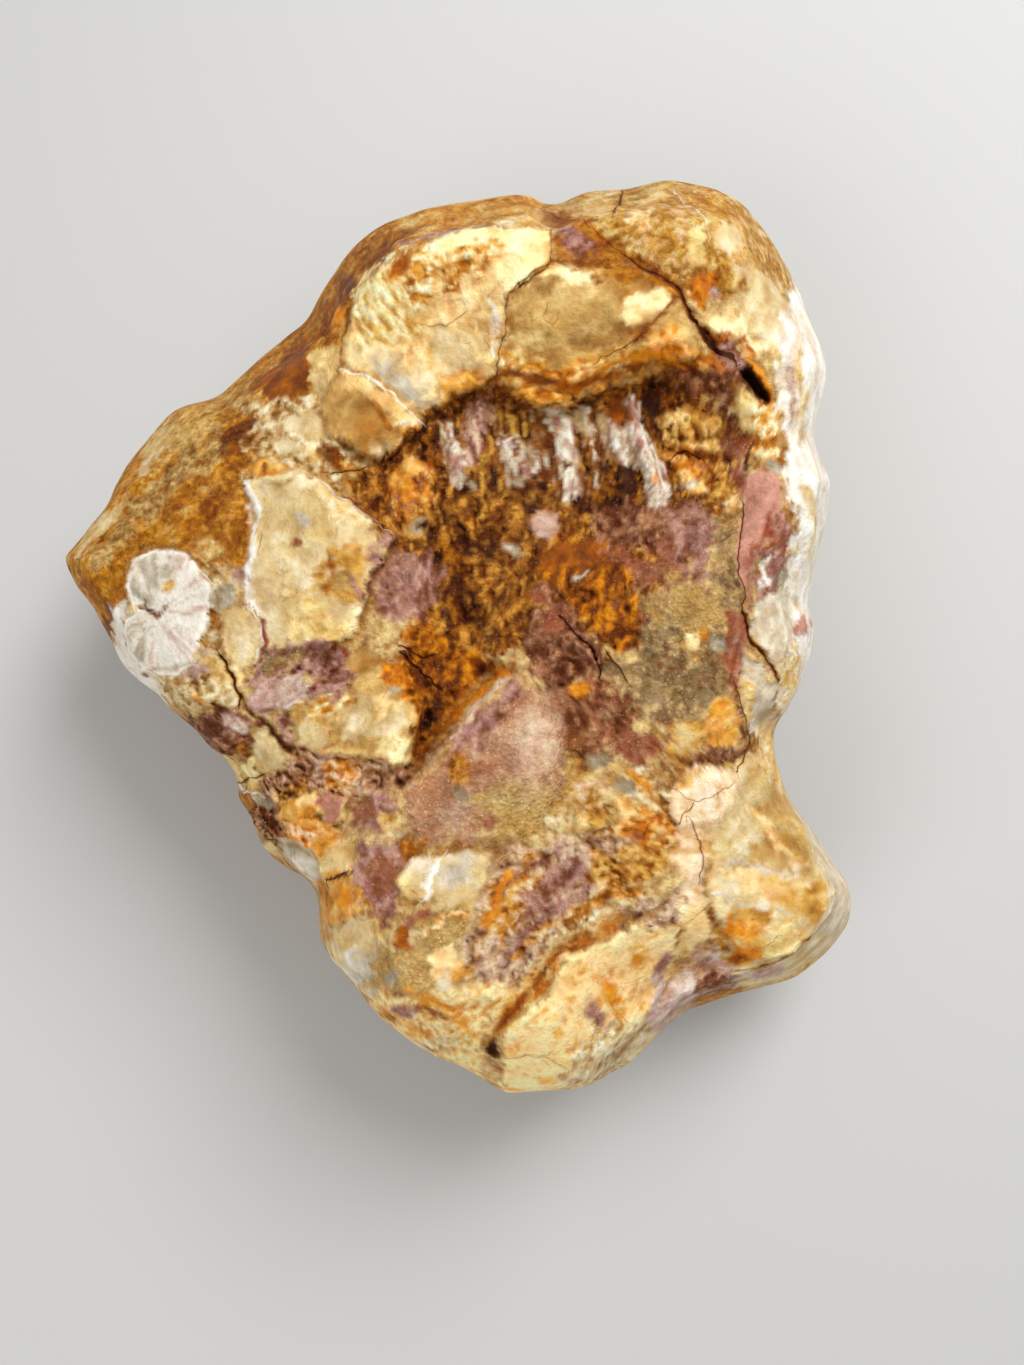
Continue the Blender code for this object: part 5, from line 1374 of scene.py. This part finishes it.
def stone_points(cube, tones):
    """Moves the points of a block's surface, -1 to 1, onto the stone."""
    x, y, z = cube.T
    disc_x = x * np.sqrt(1.0 - y * y / 2.0)
    disc_y = y * np.sqrt(1.0 - x * x / 2.0)
    angle = np.arctan2(disc_y, disc_x)
    out = np.clip(np.hypot(disc_x, disc_y), 0.0, 1.0)
    top = z > 1.0 - 1e-6

    u, v = around(angle, out)
    height = np.zeros(len(cube))
    bare_height = upper_height(u[top], v[top])
    at = np.stack((u[top], v[top], bare_height * POINTS_PER_MM))
    near_rim = smooth(inside(OUTLINE, u[top], v[top]) / GRAIN_FADE)
    height[top] = bare_height + near_rim * fine_relief(at, *painted(at, tones))
    upper = np.array((*sight(u, v, height * MM), height * MM))

    rim_u, rim_v = around(angle)
    rim_height = upper_height(rim_u, rim_v) * MM
    rim_x, rim_y = sight(rim_u, rim_v, rim_height)
    under = np.where(top, 0.0, (1.0 - z) / 4.0 + (1.0 - out) / 2.0) * pi / 2.0
    spread = np.cos(under) ** (2.0 / SIDE_STEEPNESS)
    sunk = np.sin(under) ** (2.0 / BELLY_ROUNDNESS)
    middle = np.array(sight(np.float64(HEART[0]), np.float64(HEART[1]), 0.0))
    lower = np.array((
        middle[0] + spread * (rim_x - middle[0]),
        middle[1] + spread * (rim_y - middle[1]),
        rim_height * (1.0 - sunk) - sunk * FLAT_SPOT_CUT * MM,
    ))
    u, v = np.where(top, u, rim_u), np.where(top, v, rim_v)
    return np.where(top, upper, lower).T, np.where(top, 0.0, under), u, v


def break_sides(points, under):
    """Cuts the sides and the belly back to flat broken faces, and leaves the outline alone."""
    weight = smooth((under - 0.1) / 0.35)
    for turn, dip, cut in BREAKS:
        normal = np.array((
            cos(radians(turn)) * cos(radians(dip)),
            sin(radians(turn)) * cos(radians(dip)),
            -sin(radians(dip)),
        ))
        reach = points @ normal
        over = np.maximum(reach - (reach.max() - cut * MM), 0.0) * weight
        points = points - over[:, None] * normal
    return points


# Chips and waves all over, finer ones on the sides alone, and how much rougher the belly is:
# (shape, size of one, depth, seed)
SKIN = [(scoops, 31.0, 5.0, 21), (scoops, 12.5, 1.7, 31), (ripples, 15.0, 0.9, 41)]
SIDE_SKIN = [(scoops, 4.6, 1.1, 61), (ripples, 1.9, 0.35, 77)]
BELLY_ROUGHNESS = 1.5


def roughen(points, normals, under, u, v):
    """Gives the whole stone its chips and waves, which fade out on the flat spot.

    Inside the outline the points move towards the eye, so they keep their place in the picture.
    """
    rough, fine = (
        sum(depth * shape(*(points.T / (size * MM)), seed) for shape, size, depth, seed in skin)
        for skin in (SKIN, SIDE_SKIN)
    )
    fine = fine * smooth(under / 0.15)
    belly = 1.0 + (BELLY_ROUGHNESS - 1.0) * smooth(under / 0.3)
    amount = (rough * belly + fine) * MM * smooth((1.56 - under) / 0.12)
    to_eye = np.array((0.0, 0.0, EYE_HEIGHT)) - points
    to_eye /= np.linalg.norm(to_eye, axis=1)[:, None]
    inner = smooth((inside(OUTLINE, u, v) - 8.0) / 30.0)[:, None]
    return points + amount[:, None] * (normals + inner * (to_eye - normals))


def round_rim(points, edges, under, u, v):
    """Rounds the crease where the upper face meets the sides."""
    away = np.where(under > 0.0, under / CREASE_DOWN, inside(OUTLINE, u, v) / CREASE_IN)
    weight = (1.0 - smooth(away))[:, None]
    return points + weight * (smoothed(points, edges, CREASE_ROUNDS) - points)


def fit(points):
    """Sets the stone in the solid's box, and returns the points, the shift and the scale."""
    low, high = points.min(axis=0), points.max(axis=0)
    shift = np.array(((low[0] + high[0]) / 2.0, (low[1] + high[1]) / 2.0, 0.0))
    size = np.array((high[0] - low[0], high[1] - low[1], high[2]))
    scale = (HIGH_CORNER - LOW_CORNER) / size * BOX_SHARE
    middle = np.array(((LOW_CORNER[0] + HIGH_CORNER[0]) / 2.0, (LOW_CORNER[1] + HIGH_CORNER[1]) / 2.0, 0.0))
    points = (points - shift) * scale + middle
    points[:, 2] = np.maximum(points[:, 2], LOW_CORNER[2])
    return points, shift, scale


def read(source, key, width):
    values = np.empty(len(source) * width)
    source.foreach_get(key, values)
    return values.reshape(-1, width) if width > 1 else values


def write_points(mesh, points):
    mesh.vertices.foreach_set("co", points.astype(np.float32).ravel())
    mesh.update()


def write_values(mesh, name, kind, values):
    layer = mesh.attributes.get(name) or mesh.attributes.new(name, kind, "POINT")
    layer.data.foreach_set("color" if kind == "FLOAT_COLOR" else "value", values.astype(np.float32).ravel())


def smoothed(points, edges, times):
    """The points after each has moved to the middle of its neighbours, several times over."""
    count = np.bincount(edges.ravel(), minlength=len(points))[:, None]
    for _ in range(times):
        total = np.stack([
            np.bincount(edges[:, 0], points[edges[:, 1], axis], len(points))
            + np.bincount(edges[:, 1], points[edges[:, 0], axis], len(points))
            for axis in range(3)
        ], axis=1)
        points = total / count
    return points


def block(squares):
    """A block 2 across, cut into small squares."""
    bpy.ops.object.select_all(action="DESELECT")
    bpy.ops.mesh.primitive_cube_add(size=2.0)
    bpy.ops.object.mode_set(mode="EDIT")
    bpy.ops.mesh.select_all(action="SELECT")
    bpy.ops.mesh.subdivide(number_cuts=squares - 1)
    bpy.ops.mesh.subdivide(number_cuts=2)
    bpy.ops.object.mode_set(mode="OBJECT")
    return bpy.context.object


def thin_sides(piece, share):
    """Collapses faces on the sides and belly, few beside the rim and most on the belly."""
    mesh = piece.data
    for start, stop, kept in THINNING:
        under = read(mesh.attributes["under"].data, "value", 1)
        bpy.ops.object.mode_set(mode="EDIT")
        bpy.ops.mesh.select_mode(type="VERT")
        bpy.ops.mesh.select_all(action="DESELECT")
        bpy.ops.object.mode_set(mode="OBJECT")
        mesh.vertices.foreach_set("select", (under > start) & (under <= stop))
        bpy.ops.object.mode_set(mode="EDIT")
        bpy.ops.mesh.decimate(ratio=kept * share)
        bpy.ops.object.mode_set(mode="OBJECT")
    points = read(mesh.vertices, "co", 3)
    points[:, 2] = np.maximum(points[:, 2], LOW_CORNER[2])
    write_points(mesh, points)


def side_colours(points, tones):
    """Colours of the sides and belly: rind, broken pale faces and dusky patches."""
    place = points.T / MM
    umber, tawny, straw, bone, mauve, plum, khaki = (
        np.array(tones[name]) for name in ("umber", "tawny", "straw", "bone", "mauve", "plum", "khaki")
    )
    grain = 0.5 + 0.5 * ripples(*(place / 1.4), 5, 2)
    cloud, patch, dusk = (
        ripples(*(place / size), seed, 4) for size, seed in ((16.0, 15), (24.0, 35), (20.0, 55))
    )
    light = np.clip(grain + 0.3 * cloud, 0.0, 1.0)[:, None]
    pale_share = smooth((patch - 0.12) / 0.14 + 0.5)
    dim_share = smooth((dusk - 0.35) / 0.16 + 0.5)
    colour = between(np.clip(0.5 + 0.6 * cloud + 0.35 * (grain - 0.5), 0.0, 1.0), umber, tawny, straw)
    colour += pale_share[:, None] * (khaki + light * (bone - khaki) - colour)
    colour += dim_share[:, None] * (plum + light * (mauve - plum) - colour)
    wax, rough_grain = 0.15 + 0.5 * pale_share, 0.9 - 0.6 * pale_share
    return np.hstack((colour, np.stack((wax, rough_grain), axis=1), np.zeros((len(points), 3))))


def colour_stone(piece, tones):
    """Writes the stone's colours, finishes and hairlines on its points."""
    mesh = piece.data
    u, v, under = (read(mesh.attributes[name].data, "value", 1) for name in ("right", "down", "under"))
    points = read(mesh.vertices, "co", 3)
    normals = read(mesh.vertices, "normal", 3)
    edges = read(mesh.edges, "vertices", 2).astype(int)

    made = side_colours(points, tones)
    upper = under < PAINT_END
    level = np.where(under > 0.0, points[:, 2] / MM, upper_height(u, v)) * POINTS_PER_MM
    top_made, _ = painted(np.stack((u, v, level))[:, upper], tones)
    fade = (under[upper] - 0.05) / 0.27 + 0.3 * ripples(*(points[upper].T / (7.0 * MM)), 91)
    fade = np.where(under[upper] > 0.0, smooth(fade), 0.0)[:, None]
    made[upper] = top_made + fade * (made[upper] - top_made)

    # Hollow places are browned and darkened, partly as iron stain and partly as painted shade, and ridges
    # are lightened, partly as paler stone and partly as painted highlight
    near = smoothed(points, edges, NEAR_ROUNDS)
    wide = smoothed(near, edges, WIDE_ROUNDS)
    hollow_near = np.sum((near - points) * normals, axis=1) / MM
    hollow_wide = np.sum((wide - points) * normals, axis=1) / MM
    stain = np.clip(0.55 * smooth(hollow_near / 0.16) + 0.45 * smooth(hollow_wide / 0.9), 0.0, 1.0)
    ridge_pale_and_highlight = np.clip(0.35 * smooth(-hollow_near / 0.16) + 0.25 * smooth(-hollow_wide / 0.9), 0.0, 1.0)
    colour = made[:, :3]
    clean = smooth((colour[:, 2] - 0.35) / 0.3)
    stain = (stain * (1.0 - 0.5 * clean))[:, None]
    colour = colour * (1.0 - stain * HOLLOW_STAIN_AND_SHADE)
    colour = np.minimum(colour * (1.0 + 0.4 * ridge_pale_and_highlight[:, None]), BRIGHTEST)

    write_values(mesh, "tint", "FLOAT_COLOR", np.hstack((colour, np.ones((len(u), 1)))))
    write_values(mesh, "finish", "FLOAT_COLOR", np.hstack((made[:, 3:6], np.ones((len(u), 1)))))
    wander_u, wander_v = wander(u, v)
    crack, crack_width = hairlines(CRACKS_AND_SHADOW_LINES, wander_u, wander_v)
    rim, rim_width = hairlines(PALE_RIMS_AND_HIGHLIGHTS, wander_u, wander_v)
    side = under > LINES_END
    crack_width[side] = 0.0
    rim_width[side] = 0.0
    write_values(mesh, "lines", "FLOAT_COLOR", np.stack((crack, crack_width, rim, rim_width), axis=1))


# Material

def add(tree, kind, **settings):
    made = tree.nodes.new(kind)
    for key, value in settings.items():
        setattr(made, key, value)
    return made


def set_input(tree, socket, value):
    if isinstance(value, bpy.types.NodeSocket):
        tree.links.new(value, socket)
    else:
        socket.default_value = value


def maths(tree, operation, first, second=0.0, third=0.0, clamp=False):
    made = add(tree, "ShaderNodeMath", operation=operation, use_clamp=clamp)
    for socket, value in zip(made.inputs, (first, second, third)):
        set_input(tree, socket, value)
    return made.outputs[0]


def times(tree, first, second):
    return maths(tree, "MULTIPLY", first, second)


def times_plus(tree, value, factor, more):
    return maths(tree, "MULTIPLY_ADD", value, factor, more)


def steps(tree, value, low, high, to_low=0.0, to_high=1.0):
    made = add(tree, "ShaderNodeMapRange", interpolation_type="SMOOTHSTEP", clamp=True)
    for socket, number in zip(made.inputs, (value, low, high, to_low, to_high)):
        set_input(tree, socket, number)
    return made.outputs[0]


def falls(tree, value, low, high):
    return steps(tree, value, low, high, 1.0, 0.0)


def mix(tree, blend, share, first, second):
    made = add(tree, "ShaderNodeMix", data_type="RGBA", blend_type=blend)
    set_input(tree, made.inputs["Factor"], share)
    set_input(tree, made.inputs[6], first)
    set_input(tree, made.inputs[7], second)
    return made.outputs[2]


def noise(tree, place, size, detail, rough=0.5, distortion=0.0, output="Fac"):
    """Noise with features of the given size in metres."""
    made = add(tree, "ShaderNodeTexNoise")
    values = (("Scale", 1.0 / size), ("Detail", detail), ("Roughness", rough))
    for name, value in (("Vector", place), *values, ("Distortion", distortion)):
        set_input(tree, made.inputs[name], value)
    return made.outputs[output]


def grains(tree, place, size, feature="F1"):
    """Grains of the given size in metres."""
    made = add(tree, "ShaderNodeTexVoronoi", feature=feature)
    set_input(tree, made.inputs["Vector"], place)
    set_input(tree, made.inputs["Scale"], 1.0 / size)
    return made.outputs


def channels(tree, colour):
    """The red, green and blue of a colour."""
    made = add(tree, "ShaderNodeSeparateColor")
    set_input(tree, made.inputs[0], colour)
    return made.outputs


def written(tree, name):
    """A colour written on the stone's points, and its alpha."""
    made = add(tree, "ShaderNodeAttribute", attribute_name=name)
    return made.outputs["Color"], made.outputs["Alpha"]


def line_gap(tree, far, width, sway):
    """How far outside a hairline's edge each place is, once the line is bent by the sway."""
    bent = maths(tree, "ABSOLUTE", maths(tree, "ADD", far, sway))
    return maths(tree, "SUBTRACT", bent, width)


def grey(tree, value):
    made = add(tree, "ShaderNodeCombineColor")
    for socket in made.inputs[:3]:
        set_input(tree, socket, value)
    return made.outputs[0]


# Sizes in the material, in metres
MOTTLE_SIZE = 0.0042
BLUSH_SIZE = 0.009
WISP_SIZE = 0.006
BEND_SIZE = 0.007
CRAZE_SIZE = 0.011
SPECK_SIZE = 0.0016
SWAY_SIZE = 0.0016
GLITTER_SIZE = 0.0006
CRYSTAL_SIZE = 0.0007
RELIEF_DEPTH = 0.0018

# Colours that the stone's own colour is multiplied by, among them the stain and painted shade of the
# grain's pits and the painted highlight of its peaks, and the painted glint that crystal faces add
PIT_STAIN_AND_SHADE_COLOUR = (0.62, 0.40, 0.17, 1.0)
PEAK_HIGHLIGHT_COLOUR = (1.8, 1.75, 1.6, 1.0)
BLUSH_COLOUR = (0.93, 0.76, 0.46, 1.0)
CRAZE_COLOUR = (0.60, 0.42, 0.24, 1.0)
HALO_COLOUR = (0.72, 0.45, 0.22, 1.0)
PAINTED_GLINT_COLOUR = (0.55, 0.46, 0.28, 1.0)


def chalcedony(tones, grain_size):
    """Waxy, granular and drusy chalcedony, by the values on the stone's points."""
    material = bpy.data.materials.new("chalcedony_looks")
    material.use_nodes = True
    tree = material.node_tree
    shader = tree.nodes["Principled BSDF"]
    place = add(tree, "ShaderNodeTexCoord").outputs["Object"]
    tint, _ = written(tree, "tint")
    finish, _ = written(tree, "finish")
    lines, rim_width = written(tree, "lines")
    red, _, blue = channels(tree, tint)
    wax, grain, crystal = channels(tree, finish)
    crack, crack_width, rim = channels(tree, lines)
    earthy = steps(tree, blue, 0.35, 0.70, 1.0, 0.35)

    mottle = noise(tree, place, MOTTLE_SIZE, 5.0, 0.6)
    fine = noise(tree, place, grain_size, 5.0, 0.72)
    blush = noise(tree, place, BLUSH_SIZE, 4.0, 0.6, 0.6)
    wisps = noise(tree, place, WISP_SIZE, 5.0, 0.62, 1.8)

    # mottling, darker pits that are partly stain and partly painted shade, and painted highlights on pale
    # peaks
    colour = mix(tree, "OVERLAY", 0.5, tint, grey(tree, steps(tree, mottle, 0.28, 0.72, 0.30, 0.70)))
    pit_stain_and_shade = times(tree, falls(tree, fine, 0.38, 0.52), times_plus(tree, grain, 0.66, 0.08))
    colour = mix(tree, "MULTIPLY", times(tree, pit_stain_and_shade, earthy), colour, PIT_STAIN_AND_SHADE_COLOUR)
    peak_highlight = times(tree, steps(tree, fine, 0.52, 0.62), times_plus(tree, grain, 0.34, 0.08))
    headroom = steps(tree, red, 0.45, 0.90, 1.0, 0.3)
    colour = mix(tree, "MULTIPLY", times(tree, peak_highlight, headroom), colour, PEAK_HIGHLIGHT_COLOUR)
    stain = times(tree, steps(tree, blush, 0.50, 0.70), times(tree, earthy, 0.3))
    colour = mix(tree, "MULTIPLY", stain, colour, BLUSH_COLOUR)

    # fine crazing, with brown in its lines
    bend = noise(tree, place, BEND_SIZE, 4.0, output="Color")
    bent = add(tree, "ShaderNodeVectorMath", operation="MULTIPLY_ADD")
    for socket, value in zip(bent.inputs, (bend, (BEND_SIZE, BEND_SIZE, BEND_SIZE), place)):
        set_input(tree, socket, value)
    crazing = grains(tree, bent.outputs[0], CRAZE_SIZE, "DISTANCE_TO_EDGE")["Distance"]
    crazed = times(tree, steps(tree, blush, 0.52, 0.66), earthy)
    craze = times(tree, falls(tree, crazing, 0.0, 0.016), crazed)
    colour = mix(tree, "MULTIPLY", times(tree, craze, 0.5), colour, CRAZE_COLOUR)

    # thin rusty wisps in the waxy matter
    ridge = maths(tree, "ABSOLUTE", maths(tree, "SUBTRACT", wisps, 0.5))
    wisp = times(tree, falls(tree, ridge, 0.0, 0.014), steps(tree, mottle, 0.45, 0.62))
    wisp = times(tree, wisp, times_plus(tree, wax, 0.45, 0.1))
    colour = mix(tree, "MIX", wisp, colour, (*tones["ochre"], 1.0))

    # dark specks in the granular matter
    specks = grains(tree, place, SPECK_SIZE)
    chosen = steps(tree, channels(tree, specks["Color"])[0], 0.72, 0.78)
    speck = times(tree, falls(tree, specks["Distance"], 0.16, 0.34), chosen)
    speck = times(tree, speck, times(tree, grain, 0.5))
    colour = mix(tree, "MIX", speck, colour, (*tones["bark"], 1.0))

    # painted glints: pale dots added to the colour where tiny crystal faces would catch the light
    glitter = grains(tree, place, GLITTER_SIZE)
    chosen = steps(tree, channels(tree, glitter["Color"])[1], 0.80, 0.95)
    painted_glint = times(tree, falls(tree, glitter["Distance"], 0.25, 0.42), chosen)
    painted_glint = times(tree, painted_glint, times_plus(tree, grain, 0.22, times(tree, crystal, 0.3)))
    colour = mix(tree, "ADD", painted_glint, colour, PAINTED_GLINT_COLOUR)

    # hairlines: pale rims, some of them painted highlights along lit lips, a brown band beside each crack,
    # and the cracks' dark lines, painted shade
    sway = times_plus(tree, noise(tree, place, SWAY_SIZE, 3.0, 0.6), 2.8, -1.4)
    pale = falls(tree, line_gap(tree, rim, rim_width, sway), -0.8, 0.8)
    pale = times(tree, pale, steps(tree, rim_width, 0.2, 0.9))
    pale = times(tree, pale, steps(tree, mottle, 0.36, 0.54, 0.10, 0.65))
    colour = mix(tree, "MIX", pale, colour, (*tones["chalk"], 1.0))
    crack_gap = line_gap(tree, crack, crack_width, sway)
    cracked = steps(tree, crack_width, 0.2, 0.6)
    halo = times(tree, falls(tree, crack_gap, -0.5, 2.6), cracked)
    colour = mix(tree, "MULTIPLY", times(tree, halo, 0.55), colour, HALO_COLOUR)
    dark = times(tree, falls(tree, crack_gap, -1.1, 0.25), cracked)
    colour = mix(tree, "MIX", times(tree, dark, 0.9), colour, (*tones["shade_brown"], 1.0))
    set_input(tree, shader.inputs["Base Color"], colour)

    # gloss
    crystals = grains(tree, place, CRYSTAL_SIZE)
    roughness = times_plus(tree, wax, -0.36, 0.72)
    roughness = times_plus(tree, maths(tree, "SUBTRACT", fine, 0.5), 0.35, roughness)
    glint = times(tree, crystal, steps(tree, channels(tree, crystals["Color"])[0], 0.55, 0.95))
    roughness = maths(tree, "MULTIPLY_ADD", glint, -0.35, roughness, clamp=True)
    set_input(tree, shader.inputs["Roughness"], roughness)
    set_input(tree, shader.inputs["IOR"], 1.53)
    set_input(tree, shader.inputs["Specular IOR Level"], 0.14)

    # fine relief
    height = times(tree, times_plus(tree, grain, 0.9, 0.15), fine)
    height = times_plus(tree, mottle, 0.8, height)
    height = times_plus(tree, craze, -0.12, height)
    height = times_plus(tree, times(tree, crystal, crystals["Distance"]), 0.35, height)
    height = times_plus(tree, dark, -0.8, height)
    bump = add(tree, "ShaderNodeBump")
    for name, value in (("Strength", 0.8), ("Distance", RELIEF_DEPTH), ("Height", height)):
        set_input(tree, bump.inputs[name], value)
    set_input(tree, shader.inputs["Normal"], bump.outputs["Normal"])
    return material


# Where the camera goes and how far its view is stretched, once the stone fits its box
EYE = {}

# Lamps: (name, setting that gives its power, size, place), and the height that they point at
LAMPS = (
    ("key_light", "key", 0.4, (0.30, 0.36, 0.60)),
    ("side_light", "side", 0.6, (-0.45, -0.55, 0.50)),
)
LIT_HEIGHT = 0.03

FLOOR_SIZE = 3.0
FLOOR_GAP = 0.0002
SENSOR_WIDTH = 36.0


class CHALCEDONY_OT_stone(bpy.types.Operator):
    """Models the stone in place of its solid, with its relief and colours"""

    bl_idname = "chalcedony.stone"
    bl_label = "Stone"

    def execute(self, context):
        form = context.scene.stone_form
        chosen = context.scene.stone_tones
        tones = {name: tuple(getattr(chosen, name)) for name in StoneTones.__annotations__}
        piece = block(form.squares)
        piece.name = "chalcedony_stone"
        mesh = piece.data

        points, under, u, v = stone_points(read(mesh.vertices, "co", 3), tones)
        points = break_sides(points, under)
        write_points(mesh, points)
        points = roughen(points, read(mesh.vertices, "normal", 3), under, u, v)
        points = round_rim(points, read(mesh.edges, "vertices", 2).astype(int), under, u, v)
        points, shift, scale = fit(points)
        write_points(mesh, points)
        for name, values in (("right", u), ("down", v), ("under", under)):
            write_values(mesh, name, "FLOAT", values)
        EYE["place"] = (np.array((0.0, 0.0, EYE_HEIGHT)) - shift) * scale
        EYE["stretch"] = 2.0 * scale[2] / (scale[0] + scale[1])

        thin_sides(piece, form.side_share)
        colour_stone(piece, tones)
        bpy.ops.object.shade_smooth()
        mesh.materials.append(chalcedony(tones, form.grain_size))
        for layer in list(mesh.uv_layers):
            mesh.uv_layers.remove(layer)
        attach(piece, "root")
        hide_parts(NODE)
        return {"FINISHED"}


class CHALCEDONY_OT_stage(bpy.types.Operator):
    """Adds the pale floor, the soft lights and the camera above the stone"""

    bl_idname = "chalcedony.stage"
    bl_label = "Stage"

    def execute(self, context):
        settings = context.scene.stage_settings
        bpy.ops.object.select_all(action="DESELECT")
        bpy.ops.mesh.primitive_plane_add(size=FLOOR_SIZE, location=(0.0, 0.0, -FLOOR_GAP))
        floor = context.object
        floor.name = "pale_floor"
        paint = bpy.data.materials.new("pale_floor")
        paint.use_nodes = True
        shader = paint.node_tree.nodes["Principled BSDF"]
        shader.inputs["Base Color"].default_value = (*settings.floor, 1.0)
        shader.inputs["Roughness"].default_value = 0.8
        floor.data.materials.append(paint)

        world = bpy.data.worlds.new("soft_sky")
        world.use_nodes = True
        light = world.node_tree.nodes["Background"]
        light.inputs["Color"].default_value = (1.0, 0.98, 0.95, 1.0)
        light.inputs["Strength"].default_value = settings.sky
        context.scene.world = world

        for name, power, size, place in LAMPS:
            bpy.ops.object.light_add(type="AREA", location=place)
            lamp = context.object
            lamp.name = name
            lamp.data.energy = getattr(settings, power)
            lamp.data.size = size
            across = np.hypot(place[0], place[1])
            turn = np.arctan2(place[0], -place[1])
            lamp.rotation_euler = (atan(across / (place[2] - LIT_HEIGHT)), 0.0, turn)

        bpy.ops.object.camera_add(location=EYE["place"], rotation=(EYE_TILT, 0.0, 0.0))
        camera = context.object
        camera.name = "camera_above"
        camera.data.sensor_width = SENSOR_WIDTH
        camera.data.lens = EYE_FOCUS / PICTURE_HEIGHT * SENSOR_WIDTH * EYE["stretch"]
        camera.data.clip_start = 0.01
        context.scene.camera = camera
        context.scene.view_settings.view_transform = "Standard"
        return {"FINISHED"}


class CHALCEDONY_PT_panel(bpy.types.Panel):
    """Lists the stone's sizes, colours and operators"""

    bl_idname = "CHALCEDONY_PT_panel"
    bl_label = "Chalcedony"
    bl_space_type = "VIEW_3D"
    bl_region_type = "UI"
    bl_category = "Chalcedony"

    def draw(self, context):
        for group in (context.scene.stone_form, context.scene.stone_tones, context.scene.stage_settings):
            box = self.layout.box()
            for name in type(group).__annotations__:
                box.prop(group, name)
        for operator in OPERATORS:
            self.layout.operator(operator.bl_idname)


GROUPS = {"stone_tones": StoneTones, "stone_form": StoneForm, "stage_settings": StageSettings}
OPERATORS = (CHALCEDONY_OT_stone, CHALCEDONY_OT_stage)


def register():
    for made in (*GROUPS.values(), *OPERATORS, CHALCEDONY_PT_panel):
        bpy.utils.register_class(made)
    for name, group in GROUPS.items():
        setattr(bpy.types.Scene, name, bpy.props.PointerProperty(type=group))


def unregister():
    for name in GROUPS:
        delattr(bpy.types.Scene, name)
    for made in reversed((*GROUPS.values(), *OPERATORS, CHALCEDONY_PT_panel)):
        bpy.utils.unregister_class(made)


def main():
    register()
    bpy.ops.chalcedony.stone()
    bpy.ops.chalcedony.stage()


if __name__ == "__main__":
    main()
